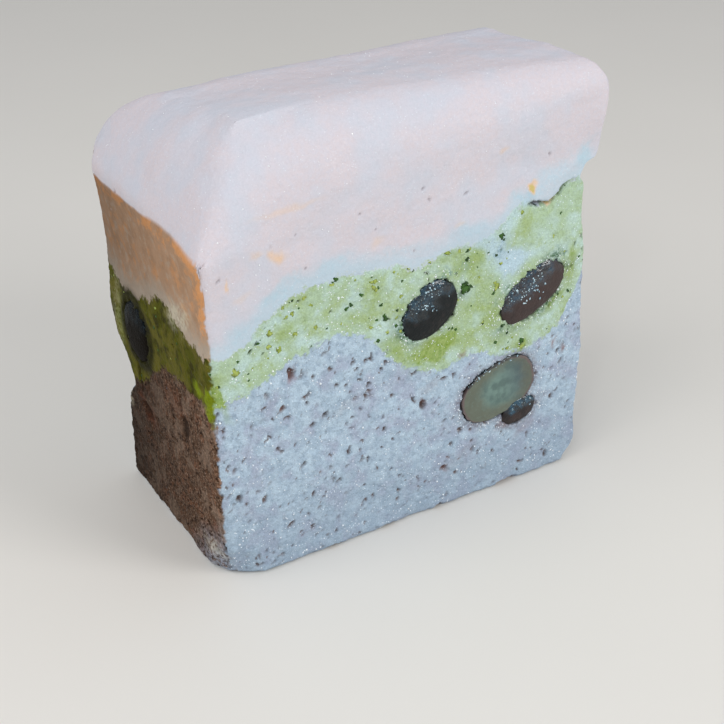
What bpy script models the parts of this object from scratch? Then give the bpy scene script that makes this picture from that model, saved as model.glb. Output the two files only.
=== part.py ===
"""A thick slab cut from a steamed cake of three layers: a smooth pink top, a green middle and a
speckled mauve bottom, with sweet black beans set in the cut faces. It stands on its bottom layer,
the long cut face towards -Y. The origin is the middle of its base, on the board, and +Z is up."""

import math

import bmesh
import bpy
from mathutils import Matrix, Vector, noise

MM = 0.001

# Driving sizes, in millimetres. Along x counts from the left end, along y from the front face.
LENGTH = 62.0
DEPTH = 34.7
CROWN = 66.0
ORIGIN = (30.8, 17.9)
GAP = 0.3
CORNER_RADIUS = 1.4
FOOT_RADIUS = 1.0
UNEVENNESS = 0.3
UNEVEN_SPAN = 7.0

# Where the shoulders of the domed top begin, inwards from each side, and how far they fall.
LEFT_SHOULDER = 10.0
LEFT_FALL = 12.2
RIGHT_SHOULDER = 2.5
RIGHT_FALL = 2.6
BACK_SHOULDER = 11.0
SHOULDER_BLEND = 2.2

# The outline of each layer boundary where it meets the four upright sides: place, height.
PINK_FRONT = [(0, 36.6), (4.5, 37.6), (9, 40.9), (13.5, 43.3), (20, 44.1), (26.5, 43.5), (32, 42.3),
              (38, 43.5), (44, 43.8), (50, 47.7), (53.5, 46.6), (58, 49.1), (62, 49.3)]
PINK_LEFT = [(0, 36.6), (6, 36.8), (15.5, 39.1), (21, 36.8), (27, 35.4), (31.5, 36.2), (34.7, 38.0)]
PINK_BACK = [(0, 38.0), (14, 42.5), (30, 43.0), (46, 44.5), (62, 46.5)]
PINK_RIGHT = [(0, 49.3), (12, 48.2), (24, 45.9), (34.7, 46.5)]
MAUVE_FRONT = [(0, 29.4), (7, 31.4), (13, 34.0), (18, 35.2), (23.3, 33.9), (28, 28.9), (31, 26.4),
               (36, 24.8), (41.5, 25.8), (46, 24.2), (52.5, 24.2), (57, 26.0), (60, 31.0), (62, 34.5)]
MAUVE_LEFT = [(0, 29.4), (9, 29.1), (17.5, 27.4), (23, 23.8), (28, 20.9), (34.7, 19.4)]
MAUVE_BACK = [(0, 19.4), (10, 24.5), (24, 31.0), (38, 28.0), (50, 27.0), (62, 29.5)]
MAUVE_RIGHT = [(0, 34.5), (12, 31.6), (24, 30.2), (34.7, 29.5)]

# How far each side stands out from its plain upright, by height. The pink layer overhangs on the
# right above a small broken step, and the foot of that side is chipped. At the back of the left
# end the green layer bulges and the mauve one has lost some crumb.
RIGHT_OUT = [(0, -2.6), (1.4, -2.4), (3.0, -0.7), (5.6, -0.1), (19, -0.1), (25, -0.7), (35, -1.0),
             (42, -1.7), (48, -1.9), (49.6, -2.6), (51, -2.2), (52.4, -0.2), (57, 0.3), (62, 0.8),
             (66, 0.4)]
LEFT_OUT = [(0, 0.0), (36, 0.0), (44, 0.2), (50, 0.8), (53, 1.1), (57, 0.4), (66, 0.0)]
BACK_OUT = [(0, 0.4), (11, 0.2), (16, -1.6), (19, -4.2), (21.5, -2.4), (26, 1.6), (33, 2.8),
            (42, 1.6), (52, 1.2), (66, 1.0)]
BACK_OUT_SPAN = 13.0
FRONT_BULGE = 1.1

# The front left corner of the foot has crumbled away: how far in, and how high up.
WORN_REACH = 6.0
WORN_DEPTH = 2.2

# The height of the crown along the length, and how the front shoulder sharpens towards the right.
CROWN_LINE = [(0, -1.4), (10, -0.6), (20, 0.0), (35, 0.0), (50, 0.2), (62, 0.2)]
FRONT_SHOULDER = [(0, 8.0), (20, 8.0), (45, 6.0), (62, 4.0)]
FRONT_FALL = [(0, 9.0), (20, 10.0), (45, 7.0), (62, 3.6)]
BACK_FALL = [(0, 4.5), (6, 7.0), (15, 8.8), (62, 9.0)]
TOP_TILT = 1.2
TILT_START = 9.0
TILT_END = 24.0

# Beans: centre, half sizes along x, y and z before tilting, and the tilt in degrees, which turns
# the right end of the bean up within the front face.
FRONT_BEANS = {
    "bean_front_left": {"centre": (33.6, 1.3, 35.0), "half": (5.6, 2.7, 4.4), "tilt": 43.0},
    "bean_front_right": {"centre": (51.4, 1.2, 33.6), "half": (6.9, 2.8, 4.0), "tilt": 31.0},
    "bean_tip": {"centre": (50.9, 1.0, 12.3), "half": (2.9, 1.7, 1.8), "tilt": 14.0},
}
CUT_BEAN = {"centre": (46.6, 0.3, 18.0), "half": (6.8, 3.8, 4.3), "tilt": 24.5}
CUT_FACE = -0.15
SIDE_BEAN = {"centre": (1.3, 26.3, 29.4), "half": (2.7, 4.8, 5.1), "tilt": 0.0}
BEAN_SEGMENTS = 20
BEAN_RINGS = 12

# How finely each stretch of the skin is divided.
LEFT_STEPS = 5
RIGHT_STEPS = 3
FRONT_STEPS = 4
BACK_STEPS = 5
LENGTH_STEPS = 18
DEPTH_STEPS = 5
PINK_ROWS = [0, 0.06, 0.13, 0.2, 0.32, 0.48, 0.64, 0.8, 0.9, 1]
GREEN_ROWS = [0, 0.2, 0.4, 0.6, 0.8, 1]
MAUVE_ROWS = [0, 0.006, 0.018, 0.035, 0.1, 0.2, 0.32, 0.44, 0.54, 0.62, 0.72, 0.86, 1]


def clearScene():
    for item in list(bpy.data.objects):
        bpy.data.objects.remove(item, do_unlink=True)


def makeCollection(name):
    group = bpy.data.collections.new(name)
    bpy.context.scene.collection.children.link(group)
    return group


def makeMaterial(name, colour, roughness):
    material = bpy.data.materials.new(name)
    material.use_nodes = True
    shader = material.node_tree.nodes["Principled BSDF"]
    shader.inputs["Base Color"].default_value = (*colour, 1.0)
    shader.inputs["Roughness"].default_value = roughness
    shader.inputs["Metallic"].default_value = 0.0
    return material


def along(points, place):
    """The value at a place on a smooth line through a list of (place, value) points."""
    if place <= points[0][0]:
        return points[0][1]
    if place >= points[-1][0]:
        return points[-1][1]
    index = next(i for i in range(len(points) - 1) if place < points[i + 1][0])
    (start, low), (end, high) = points[index], points[index + 1]
    before = points[max(index - 1, 0)]
    after = points[min(index + 2, len(points) - 1)]
    span = end - start
    leave = (high - before[1]) / (end - before[0]) * span
    arrive = (after[1] - low) / (after[0] - start) * span
    t = (place - start) / span
    rise = low * (2 * t ** 3 - 3 * t ** 2 + 1) + high * (3 * t ** 2 - 2 * t ** 3)
    return rise + leave * (t ** 3 - 2 * t ** 2 + t) + arrive * (t ** 3 - t ** 2)


def easeIn(value, start, end):
    t = min(max((value - start) / (end - start), 0.0), 1.0)
    return t * t * (3 - 2 * t)


def patch(front, left, back, right, x, y):
    """The height of a sheet hung between its four edge lines, at a place inside them."""
    u = min(max(x / LENGTH, 0.0), 1.0)
    v = min(max(y / DEPTH, 0.0), 1.0)
    across = (1 - v) * along(front, x) + v * along(back, x)
    deep = (1 - u) * along(left, y) + u * along(right, y)
    corners = (1 - v) * ((1 - u) * front[0][1] + u * front[-1][1])
    corners += v * ((1 - u) * back[0][1] + u * back[-1][1])
    return across + deep - corners


def pinkFloor(x, y):
    return patch(PINK_FRONT, PINK_LEFT, PINK_BACK, PINK_RIGHT, x, y)


def mauveCeiling(x, y):
    return patch(MAUVE_FRONT, MAUVE_LEFT, MAUVE_BACK, MAUVE_RIGHT, x, y)


def shoulderFall(inwards, width, fall):
    """How far a rounded shoulder has dropped, a distance inwards from its side."""
    t = min(max(1 - inwards / width, 0.0), 1.0)
    return fall * (1 - math.sqrt(1 - t * t))


def topHeight(x, y):
    endwise = shoulderFall(x, LEFT_SHOULDER, LEFT_FALL)
    endwise += shoulderFall(LENGTH - x, RIGHT_SHOULDER, RIGHT_FALL)
    crosswise = shoulderFall(y, along(FRONT_SHOULDER, x), along(FRONT_FALL, x))
    crosswise += shoulderFall(DEPTH - y, BACK_SHOULDER, along(BACK_FALL, x))
    fall = (endwise ** SHOULDER_BLEND + crosswise ** SHOULDER_BLEND) ** (1 / SHOULDER_BLEND)
    return CROWN + along(CROWN_LINE, x) - TOP_TILT * easeIn(y, TILT_START, TILT_END) - fall


def unevenness(x, y, z):
    return UNEVENNESS * noise.noise(Vector((x, y, z)) / UNEVEN_SPAN)


def fromOrigin(x, y, z):
    return Vector((x - ORIGIN[0], y - ORIGIN[1], z)) * MM


def roundCorner(x, y):
    """Draws a place near an upright edge in towards that edge's rounding."""
    innerX = min(max(x, CORNER_RADIUS), LENGTH - CORNER_RADIUS)
    innerY = min(max(y, CORNER_RADIUS), DEPTH - CORNER_RADIUS)
    away = Vector((x - innerX, y - innerY))
    if abs(away.x) < 1e-9 or abs(away.y) < 1e-9:
        return x, y
    away *= max(abs(away.x), abs(away.y)) / away.length
    return innerX + away.x, innerY + away.y


def footInset(z):
    if z >= FOOT_RADIUS:
        return 0.0
    return FOOT_RADIUS - math.sqrt(FOOT_RADIUS ** 2 - (FOOT_RADIUS - z) ** 2)


def spread(x, y, z):
    """Moves a place in the plain block to where it lies in the cut slab."""
    u = x / LENGTH
    v = y / DEPTH
    leftOut = along(LEFT_OUT, z) - footInset(z) + unevenness(3.0, y, z)
    rightOut = along(RIGHT_OUT, z) - footInset(z) + unevenness(90.0, y, z)
    bulge = FRONT_BULGE * easeIn(x, 30.0, 60.0) * easeIn(z, 52.0, 60.0)
    frontOut = bulge - footInset(z) + unevenness(x, 40.0, z)
    backOut = along(BACK_OUT, z) * (1 - easeIn(x, 1.0, BACK_OUT_SPAN))
    backOut += unevenness(x, 80.0, z) - footInset(z)
    worn = max(1 - math.sqrt(x * x + y * y + z * z) / WORN_REACH, 0.0) * WORN_DEPTH
    leftOut -= worn
    frontOut -= worn
    roundX, roundY = roundCorner(x, y)
    roundX += rightOut * u ** 3 - leftOut * (1 - u) ** 3
    roundY += backOut * v ** 3 - frontOut * (1 - v) ** 3
    return fromOrigin(roundX, roundY, z)


def stations(length, startWidth, startSteps, endWidth, endSteps, steps):
    """Cuts along a side: close together where its shoulders turn, evenly spaced between."""
    start = [startWidth * (1 - math.cos(math.pi / 2 * i / startSteps)) for i in range(1, startSteps)]
    middle = [startWidth + (length - startWidth - endWidth) * i / steps for i in range(steps + 1)]
    end = [length - endWidth * (1 - math.cos(math.pi / 2 * i / endSteps)) for i in range(1, endSteps)]
    return start + middle + end[::-1]


def gridBlock(rows):
    """A block one unit high, LENGTH long and DEPTH deep, its faces cut into a grid."""
    mesh = bmesh.new()
    shift = Matrix.Translation((0.5, 0.5, 0.5))
    bmesh.ops.create_cube(mesh, size=1.0, matrix=Matrix.Diagonal((LENGTH, DEPTH, 1.0, 1.0)) @ shift)
    cuts = [(Vector((x, 0, 0)), Vector((1, 0, 0))) for x in
            stations(LENGTH, LEFT_SHOULDER, LEFT_STEPS, RIGHT_SHOULDER, RIGHT_STEPS, LENGTH_STEPS)]
    cuts += [(Vector((0, y, 0)), Vector((0, 1, 0))) for y in
             stations(DEPTH, FRONT_SHOULDER[0][1], FRONT_STEPS, BACK_SHOULDER, BACK_STEPS, DEPTH_STEPS)]
    cuts += [(Vector((0, 0, z)), Vector((0, 0, 1))) for z in rows[1:-1]]
    for place, direction in cuts:
        everything = mesh.verts[:] + mesh.edges[:] + mesh.faces[:]
        bmesh.ops.bisect_plane(mesh, geom=everything, dist=1e-6, plane_co=place, plane_no=direction)
    return mesh


def finish(mesh, name, group, material, smoothAngle=40.0):
    data = bpy.data.meshes.new(name)
    bmesh.ops.recalc_face_normals(mesh, faces=mesh.faces[:])
    mesh.to_mesh(data)
    mesh.free()
    data.shade_smooth()
    data.set_sharp_from_angle(angle=math.radians(smoothAngle))
    if material:
        data.materials.append(material)
    piece = bpy.data.objects.new(name, data)
    group.objects.link(piece)
    return piece


def makeLayer(name, rows, lower, upper, group, material):
    """One layer of the cake, between two sheets that give its lower and upper heights."""
    mesh = gridBlock(rows)
    for vertex in mesh.verts:
        x, y, share = vertex.co
        low = lower(x, y)
        vertex.co = spread(x, y, low + (upper(x, y) - low) * share)
    bmesh.ops.triangulate(mesh, faces=mesh.faces[:])
    return finish(mesh, name, group, material)


def beanMesh(half, extra):
    """A plump bean: an egg-like ball a little flatter on one side."""
    mesh = bmesh.new()
    bmesh.ops.create_uvsphere(mesh, u_segments=BEAN_SEGMENTS, v_segments=BEAN_RINGS, radius=1.0)
    for vertex in mesh.verts:
        x, y, z = vertex.co
        plump = 1.0 + 0.06 * x - 0.05 * (1 - x * x) * max(-z, 0.0)
        vertex.co = Vector(((half[0] + extra) * x, (half[1] + extra) * y, (half[2] + extra) * z * plump))
    return mesh


def placeBean(mesh, bean, name, group, material):
    bmesh.ops.scale(mesh, vec=(MM, MM, MM), verts=mesh.verts[:])
    piece = finish(mesh, name, group, material)
    piece.location = fromOrigin(*bean["centre"])
    piece.rotation_euler.y = math.radians(-bean["tilt"])
    return piece


def sliceFront(mesh, bean):
    """Slices the front off a bean, level with the knife's cut, and closes it."""
    level = CUT_FACE - bean["centre"][1]
    everything = mesh.verts[:] + mesh.edges[:] + mesh.faces[:]
    cut = bmesh.ops.bisect_plane(mesh, geom=everything, dist=1e-6, plane_co=(0, level, 0),
                                 plane_no=(0, -1, 0), clear_outer=True)
    rim = [item for item in cut["geom_cut"] if isinstance(item, bmesh.types.BMEdge)]
    bmesh.ops.contextual_create(mesh, geom=rim)


def makeBean(name, bean, layers, group, cutters, material):
    """A bean, and its pocket in the layers round it, one gap larger all round."""
    mesh = beanMesh(bean["half"], 0.0)
    if bean is CUT_BEAN:
        sliceFront(mesh, bean)
    placeBean(mesh, bean, name, group, material)
    pocket = placeBean(beanMesh(bean["half"], GAP), bean, name + "_pocket", cutters, None)
    pocket.hide_render = True
    pocket.display_type = "WIRE"
    for layer in layers:
        cut = layer.modifiers.new(pocket.name, "BOOLEAN")
        cut.operation = "DIFFERENCE"
        cut.object = pocket


def build():
    clearScene()
    cake = makeCollection("Layered steamed cake slab")
    cutters = makeCollection("Cutters")
    pink = makeMaterial("Pink cake", (0.80, 0.66, 0.64), 0.7)
    green = makeMaterial("Green cake", (0.50, 0.60, 0.30), 0.7)
    mauve = makeMaterial("Mauve cake", (0.40, 0.34, 0.36), 0.75)
    beanSkin = makeMaterial("Bean skin", (0.025, 0.017, 0.016), 0.25)
    beanFlesh = makeMaterial("Cut bean", (0.20, 0.22, 0.15), 0.45)

    makeLayer("pink_top_layer", PINK_ROWS, lambda x, y: pinkFloor(x, y) + GAP / 2, topHeight, cake, pink)
    greenLayer = makeLayer("green_middle_layer", GREEN_ROWS, lambda x, y: mauveCeiling(x, y) + GAP / 2,
                           lambda x, y: pinkFloor(x, y) - GAP / 2, cake, green)
    mauveLayer = makeLayer("mauve_bottom_layer", MAUVE_ROWS, lambda x, y: 0.0,
                           lambda x, y: mauveCeiling(x, y) - GAP / 2, cake, mauve)

    for name, bean in FRONT_BEANS.items():
        layers = [mauveLayer] if name == "bean_tip" else [greenLayer]
        makeBean(name, bean, layers, cake, cutters, beanSkin)
    makeBean("bean_cut", CUT_BEAN, [greenLayer, mauveLayer], cake, cutters, beanFlesh)
    makeBean("bean_side", SIDE_BEAN, [greenLayer], cake, cutters, beanSkin)


build()
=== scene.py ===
import itertools
import math

import bmesh
import bpy
import numpy as np
from mathutils import Matrix, Vector, geometry, noise


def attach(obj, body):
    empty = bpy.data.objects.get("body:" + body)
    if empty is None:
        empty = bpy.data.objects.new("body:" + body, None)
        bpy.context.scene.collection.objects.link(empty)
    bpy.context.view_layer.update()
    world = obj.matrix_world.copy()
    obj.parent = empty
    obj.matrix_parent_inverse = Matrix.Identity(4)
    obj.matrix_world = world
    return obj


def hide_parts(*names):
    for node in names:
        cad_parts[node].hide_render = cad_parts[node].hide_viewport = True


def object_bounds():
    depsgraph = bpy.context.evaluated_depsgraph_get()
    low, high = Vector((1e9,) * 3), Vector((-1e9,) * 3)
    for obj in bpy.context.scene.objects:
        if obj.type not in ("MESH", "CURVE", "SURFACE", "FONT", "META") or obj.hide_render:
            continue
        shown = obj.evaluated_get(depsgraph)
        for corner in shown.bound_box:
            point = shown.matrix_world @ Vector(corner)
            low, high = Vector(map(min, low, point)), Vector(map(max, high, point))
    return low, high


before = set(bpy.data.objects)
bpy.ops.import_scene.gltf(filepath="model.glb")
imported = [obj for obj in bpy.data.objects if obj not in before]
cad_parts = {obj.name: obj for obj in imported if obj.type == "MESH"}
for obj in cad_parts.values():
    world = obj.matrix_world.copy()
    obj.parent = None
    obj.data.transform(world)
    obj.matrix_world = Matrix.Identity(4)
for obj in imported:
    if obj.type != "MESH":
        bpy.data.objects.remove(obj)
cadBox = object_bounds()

mm = 0.001  # the shape is worked out in millimetres: x from the left end, y from the front, z up


# shader and node helpers

class Wire:
    # one output socket of a material, so that shader maths can be written as sums
    def __init__(self, board, socket):
        self.board = board
        self.socket = socket

    def maths(self, operation, first, second):
        return self.board.add("ShaderNodeMath", {"operation": operation}, {0: first, 1: second})

    def low(self, other):
        return self.maths("MINIMUM", self, other)

    def high(self, other):
        return self.maths("MAXIMUM", self, other)

    def rise(self, start, end):
        # 0 below start, 1 above end, smooth between; start may be the larger
        sockets = {0: self, 1: start, 2: end, 3: 0.0, 4: 1.0}
        return self.board.add("ShaderNodeMapRange", {"interpolation_type": "SMOOTHSTEP"}, sockets)


for title, way in {"add": "ADD", "sub": "SUBTRACT", "mul": "MULTIPLY", "pow": "POWER"}.items():
    # the operators, and the same with a plain number on the left
    setattr(Wire, f"__{title}__", lambda self, other, way=way: self.maths(way, self, other))
    setattr(Wire, f"__r{title}__", lambda self, other, way=way: self.maths(way, other, self))


class Board:
    # a material, its nodes and the paints that it may name
    def __init__(self, name, paints=None):
        self.paints = paints
        self.material = bpy.data.materials.new(name)
        self.material.use_nodes = True
        self.tree = self.material.node_tree
        self.tree.nodes.clear()

    def add(self, kind, settings=None, sockets=None, out=0):
        node = self.tree.nodes.new(kind)
        for key, value in (settings or {}).items():
            setattr(node, key, value)
        for key, value in (sockets or {}).items():
            if isinstance(value, Wire):
                self.tree.links.new(value.socket, node.inputs[key])
            else:
                node.inputs[key].default_value = value
        return Wire(self, node.outputs[out])

    def place(self, moved):
        where = self.add("ShaderNodeTexCoord", out=3)
        return self.add("ShaderNodeMapping", {}, {0: where, 1: moved}) if any(moved) else where

    def mark(self, name):
        # a number that the mesh carries at each point
        return self.add("ShaderNodeAttribute", {"attribute_name": name}, out=2)

    def lumps(self, size, detail=2.0, rough=0.5, shift=0.0):
        # soft noise from 0 to 1 whose lumps are about size millimetres
        where = self.place((shift, shift * 0.7, shift * 0.4))
        sockets = {"Vector": where, "Scale": 1000.0 / size, "Detail": detail, "Roughness": rough}
        return self.add("ShaderNodeTexNoise", {}, sockets)

    def crumbs(self, size, shift):
        # 0 in the middle of each scattered crumb, growing outwards
        where = self.place((shift, -shift, shift * 0.6))
        return self.add("ShaderNodeTexVoronoi", {}, {"Vector": where, "Scale": 1000.0 / size})

    def mix(self, share, first, second, way="MIX"):
        first, second = (paint(*self.paints[c]) if isinstance(c, str) else c for c in (first, second))
        settings = {"data_type": "RGBA", "blend_type": way}
        return self.add("ShaderNodeMix", settings, {0: share, 6: first, 7: second}, 2)

    def layer(self, base, *coats):
        # one colour over another, each where its share says
        for share, colour in coats:
            base = self.mix(share, base, colour)
        return base

    def shade(self, colour, factor):
        grey = self.add("ShaderNodeCombineColor", {}, {0: factor, 1: factor, 2: factor})
        return self.mix(1.0, colour, grey, "MULTIPLY")

    def bump(self, height, strength, distance, normal=None):
        sockets = {"Height": height, "Strength": strength, "Distance": distance * mm}
        if normal:
            sockets["Normal"] = normal
        return self.add("ShaderNodeBump", {}, sockets)

    def surface(self, sockets):
        shader = self.add("ShaderNodeBsdfPrincipled", {}, sockets)
        output = self.tree.nodes.new("ShaderNodeOutputMaterial")
        self.tree.links.new(shader.socket, output.inputs[0])
        return self.material


def paint(red, green, blue):
    # a colour as a paint chart gives it, 0 to 255, made linear
    chart = [value / 255 for value in (red, green, blue)]
    return (*[v / 12.92 if v <= 0.04045 else ((v + 0.055) / 1.055) ** 2.4 for v in chart], 1.0)


# reading and writing meshes

def newPiece(name, data):
    piece = bpy.data.objects.new(name, data)
    bpy.context.scene.collection.objects.link(piece)
    return piece


def readPoints(mesh, what="co"):
    values = np.empty(len(mesh.vertices) * 3)
    mesh.vertices.foreach_get(what, values)
    return values.reshape(-1, 3)


def store(mesh, marks):
    for title, values in marks.items():
        layer = mesh.attributes.new(title, "FLOAT", "POINT")
        layer.data.foreach_set("value", values.astype(np.float32))


def toFrame(points):
    # from block millimetres to the part's metres, kept inside the solids' own box
    middle = np.array([*slab["middle"], 0.0])
    return np.clip((points - middle) * mm, *np.array(cadBox))


def fillMesh(name, fill):
    # a mesh that is made with bmesh
    grown = bmesh.new()
    fill(grown)
    data = bpy.data.meshes.new(name)
    grown.to_mesh(data)
    grown.free()
    return data


# noise on arrays of points

dice = np.random.default_rng(20)
spines = dice.normal(size=(4096, 3))
spines /= np.linalg.norm(spines, axis=1)[:, None]
seeds = dice.random((4096, 3))


def scramble(cell, seed):
    key = cell[:, 0] * 73856093 ^ cell[:, 1] * 19349663 ^ cell[:, 2] * 83492791 ^ seed * 9176263
    return (key ^ key >> 13) & 4095


def grain(points, size, seed):
    # smooth noise between about -1 and 1, with lumps of about size millimetres
    scaled = points / size + seed * 3.7
    cell = np.floor(scaled).astype(np.int64)
    local = scaled - cell
    fade = local ** 3 * (local * (local * 6 - 15) + 10)
    total = np.zeros(len(points))
    for corner in itertools.product((0, 1), repeat=3):
        offset = np.array(corner)
        weight = np.prod(np.where(offset == 1, fade, 1 - fade), axis=1)
        total += weight * np.sum(spines[scramble(cell + offset, seed)] * (local - offset), axis=1)
    return total * 1.7


def kernels(points, size, seed):
    # distance to the nearest scattered crumb centre, in crumb sizes
    scaled = points / size
    cell = np.floor(scaled).astype(np.int64)
    best = np.full(len(points), 9.0)
    for corner in itertools.product((-1, 0, 1), repeat=3):
        spot = cell + np.array(corner)
        centre = spot + seeds[scramble(spot, seed)]
        best = np.minimum(best, np.sum((centre - scaled) ** 2, axis=1))
    return np.sqrt(best)


def easeIn(value, start, end):
    t = np.clip((value - start) / (end - start), 0.0, 1.0)
    return t * t * (3 - 2 * t)


# the cut slab: its plain block, its layer boundaries and its dome

slab = {
    "length": 62.0,
    "depth": 34.7,
    "crown": 66.0,
    "middle": (30.8, 17.9),
    "cornerRadius": 1.4,
    "rightCornerRadius": 0.6,
    "cornerChange": (20.0, 40.0),
    "softenRounds": 900,
    "softenReach": 90,
    "softenEase": 0.85,
    "softenHeights": (50.4, 53.5),
    "softenAlong": (9.0, 19.0),
    "softenDeep": (7.0, 16.0),
    "footRadius": 1.0,
    "unevenness": 0.3,
    "unevenSpan": 7.0,
    "leftShoulder": 10.0,
    "leftFall": 12.2,
    "rightShoulder": 2.5,
    "rightFall": 2.6,
    "backShoulder": 11.0,
    "shoulderBlend": 2.2,
    "crownLine": [(0, -1.4), (10, -0.6), (20, 0.0), (35, 0.0), (50, 0.2), (62, 0.2)],
    "frontShoulder": [(0, 8.0), (20, 8.0), (45, 6.0), (62, 4.0)],
    "frontFall": [(0, 9.0), (20, 10.0), (45, 7.0), (62, 3.6)],
    "backFall": [(0, 4.5), (6, 7.0), (15, 8.8), (62, 9.0)],
    "topTilt": (1.2, 9.0, 24.0),
    "frontBulge": 1.1,
    "bulgeAlong": (30.0, 60.0),
    "bulgeHeights": (52.0, 60.0),
    "wornReach": 6.0,
    "wornDepth": 2.2,
    "backOutSpan": 13.0,
    "lip": [(0, 50.7), (3, 51.1), (7, 51.6), (12, 52.0), (22, 51.9), (34.7, 51.6)],
    "rightOut": [(0, -2.3), (1.2, -2.0), (3.0, -0.5), (5.6, 0.0), (9, -0.3), (13, -0.2), (17, 0.1),
                 (21, 0.3), (25, -0.2), (35, -0.5), (42, -1.2), (48, -1.4), (49.2, -2.2), (50.4, -1.9),
                 (51.3, -1.3), (51.9, 0.2), (53.2, 0.6), (57, 0.6), (62, 0.9), (66, 0.4)],
    "leftOut": [(0, 0.0), (36, 0.0), (44, 0.2), (50, 0.8), (53, 1.1), (57, 0.4), (66, 0.0)],
    "backOut": [(0, 0.4), (11, 0.2), (16, -1.6), (19, -4.2), (21.5, -2.4), (26, 1.6), (33, 2.8),
                (42, 1.6), (52, 1.2), (66, 1.0)],
}

# where each layer boundary meets the four upright sides: place along the side, height
pinkEdges = {
    "front": [(0, 36.6), (4.5, 37.6), (9, 40.9), (13.5, 43.3), (20, 44.1), (26.5, 43.5), (32, 42.3),
              (38, 43.5), (44, 43.8), (50, 47.7), (53.5, 46.6), (58, 49.1), (62, 49.3)],
    "left": [(0, 36.6), (6, 36.8), (15.5, 39.1), (21, 36.8), (27, 35.4), (31.5, 36.2), (34.7, 38.0)],
    "back": [(0, 38.0), (14, 42.5), (30, 43.0), (46, 44.5), (62, 46.5)],
    "right": [(0, 49.3), (12, 48.2), (24, 45.9), (34.7, 46.5)],
}
mauveEdges = {
    "front": [(0, 29.4), (7, 31.4), (13, 34.0), (18, 35.2), (23.3, 33.9), (28, 28.9), (31, 26.4),
              (36, 24.8), (41.5, 25.8), (46, 24.2), (52.5, 24.2), (57, 26.0), (60, 31.0), (62, 34.5)],
    "left": [(0, 29.4), (9, 29.1), (17.5, 27.4), (23, 23.8), (28, 20.9), (34.7, 19.4)],
    "back": [(0, 19.4), (10, 24.5), (24, 31.0), (38, 28.0), (50, 27.0), (62, 29.5)],
    "right": [(0, 34.5), (12, 31.6), (24, 30.2), (34.7, 29.5)],
}


def along(points, place):
    # the value at each place on a smooth line through (place, value) points
    spots = np.array(points, float)
    place = np.clip(place, spots[0, 0], spots[-1, 0])
    index = np.clip(np.searchsorted(spots[:, 0], place, side="right") - 1, 0, len(spots) - 2)
    before = np.maximum(index - 1, 0)
    after = np.minimum(index + 2, len(spots) - 1)
    start, low = spots[index, 0], spots[index, 1]
    end, high = spots[index + 1, 0], spots[index + 1, 1]
    span = end - start
    leave = (high - spots[before, 1]) / (end - spots[before, 0]) * span
    arrive = (spots[after, 1] - low) / (spots[after, 0] - start) * span
    t = (place - start) / span
    rise = low * (2 * t ** 3 - 3 * t ** 2 + 1) + high * (3 * t ** 2 - 2 * t ** 3)
    return rise + leave * (t ** 3 - 2 * t ** 2 + t) + arrive * (t ** 3 - t ** 2)


def sheet(edges, x, y):
    # the height of a layer boundary inside the block, hung between its four edge lines
    u = np.clip(x / slab["length"], 0, 1)
    v = np.clip(y / slab["depth"], 0, 1)
    front, back = edges["front"], edges["back"]
    across = (1 - v) * along(front, x) + v * along(back, x)
    deep = (1 - u) * along(edges["left"], y) + u * along(edges["right"], y)
    corners = (1 - v) * ((1 - u) * front[0][1] + u * front[-1][1])
    corners = corners + v * ((1 - u) * back[0][1] + u * back[-1][1])
    return across + deep - corners


def shoulderFall(inwards, width, fall):
    t = np.clip(1 - inwards / width, 0.0, 1.0)
    return fall * (1 - np.sqrt(1 - t * t))


def domeHeight(x, y):
    endwise = shoulderFall(x, slab["leftShoulder"], slab["leftFall"])
    endwise = endwise + shoulderFall(slab["length"] - x, slab["rightShoulder"], slab["rightFall"])
    crosswise = shoulderFall(y, along(slab["frontShoulder"], x), along(slab["frontFall"], x))
    crosswise = crosswise + shoulderFall(slab["depth"] - y, slab["backShoulder"], along(slab["backFall"], x))
    blend = slab["shoulderBlend"]
    fall = (endwise ** blend + crosswise ** blend) ** (1 / blend)
    tilt, start, end = slab["topTilt"]
    height = slab["crown"] + along(slab["crownLine"], x) - tilt * easeIn(y, start, end) - fall
    return height


def topHeight(x, y):
    # the dome, brought to the lip that the left end has
    missing = along(slab["lip"], y) - domeHeight(np.zeros(np.shape(x)), y)
    return domeHeight(x, y) + missing * (1 - easeIn(x, 0.0, slab["leftShoulder"]))


def unevenness(x, y, z):
    span = slab["unevenSpan"]
    places = np.stack(np.broadcast_arrays(x, y, z), axis=-1) / span
    heights = [noise.noise(place) for place in places.reshape(-1, 3).tolist()]
    return slab["unevenness"] * np.array(heights).reshape(places.shape[:-1])


def footInset(z):
    radius = slab["footRadius"]
    rise = np.clip(radius - z, 0, radius)
    return radius - np.sqrt(radius ** 2 - rise ** 2)


def roundCorner(x, y):
    length, depth = slab["length"], slab["depth"]
    left, right = slab["cornerRadius"], slab["rightCornerRadius"]
    radius = left + (right - left) * easeIn(x, *slab["cornerChange"])
    innerX = np.clip(x, radius, length - radius)
    innerY = np.clip(y, radius, depth - radius)
    awayX, awayY = x - innerX, y - innerY
    reach = np.hypot(awayX, awayY)
    corner = (np.abs(awayX) > 1e-9) & (np.abs(awayY) > 1e-9)
    pull = np.where(corner, np.maximum(np.abs(awayX), np.abs(awayY)) / np.maximum(reach, 1e-9), 1.0)
    return innerX + awayX * pull, innerY + awayY * pull


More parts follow.
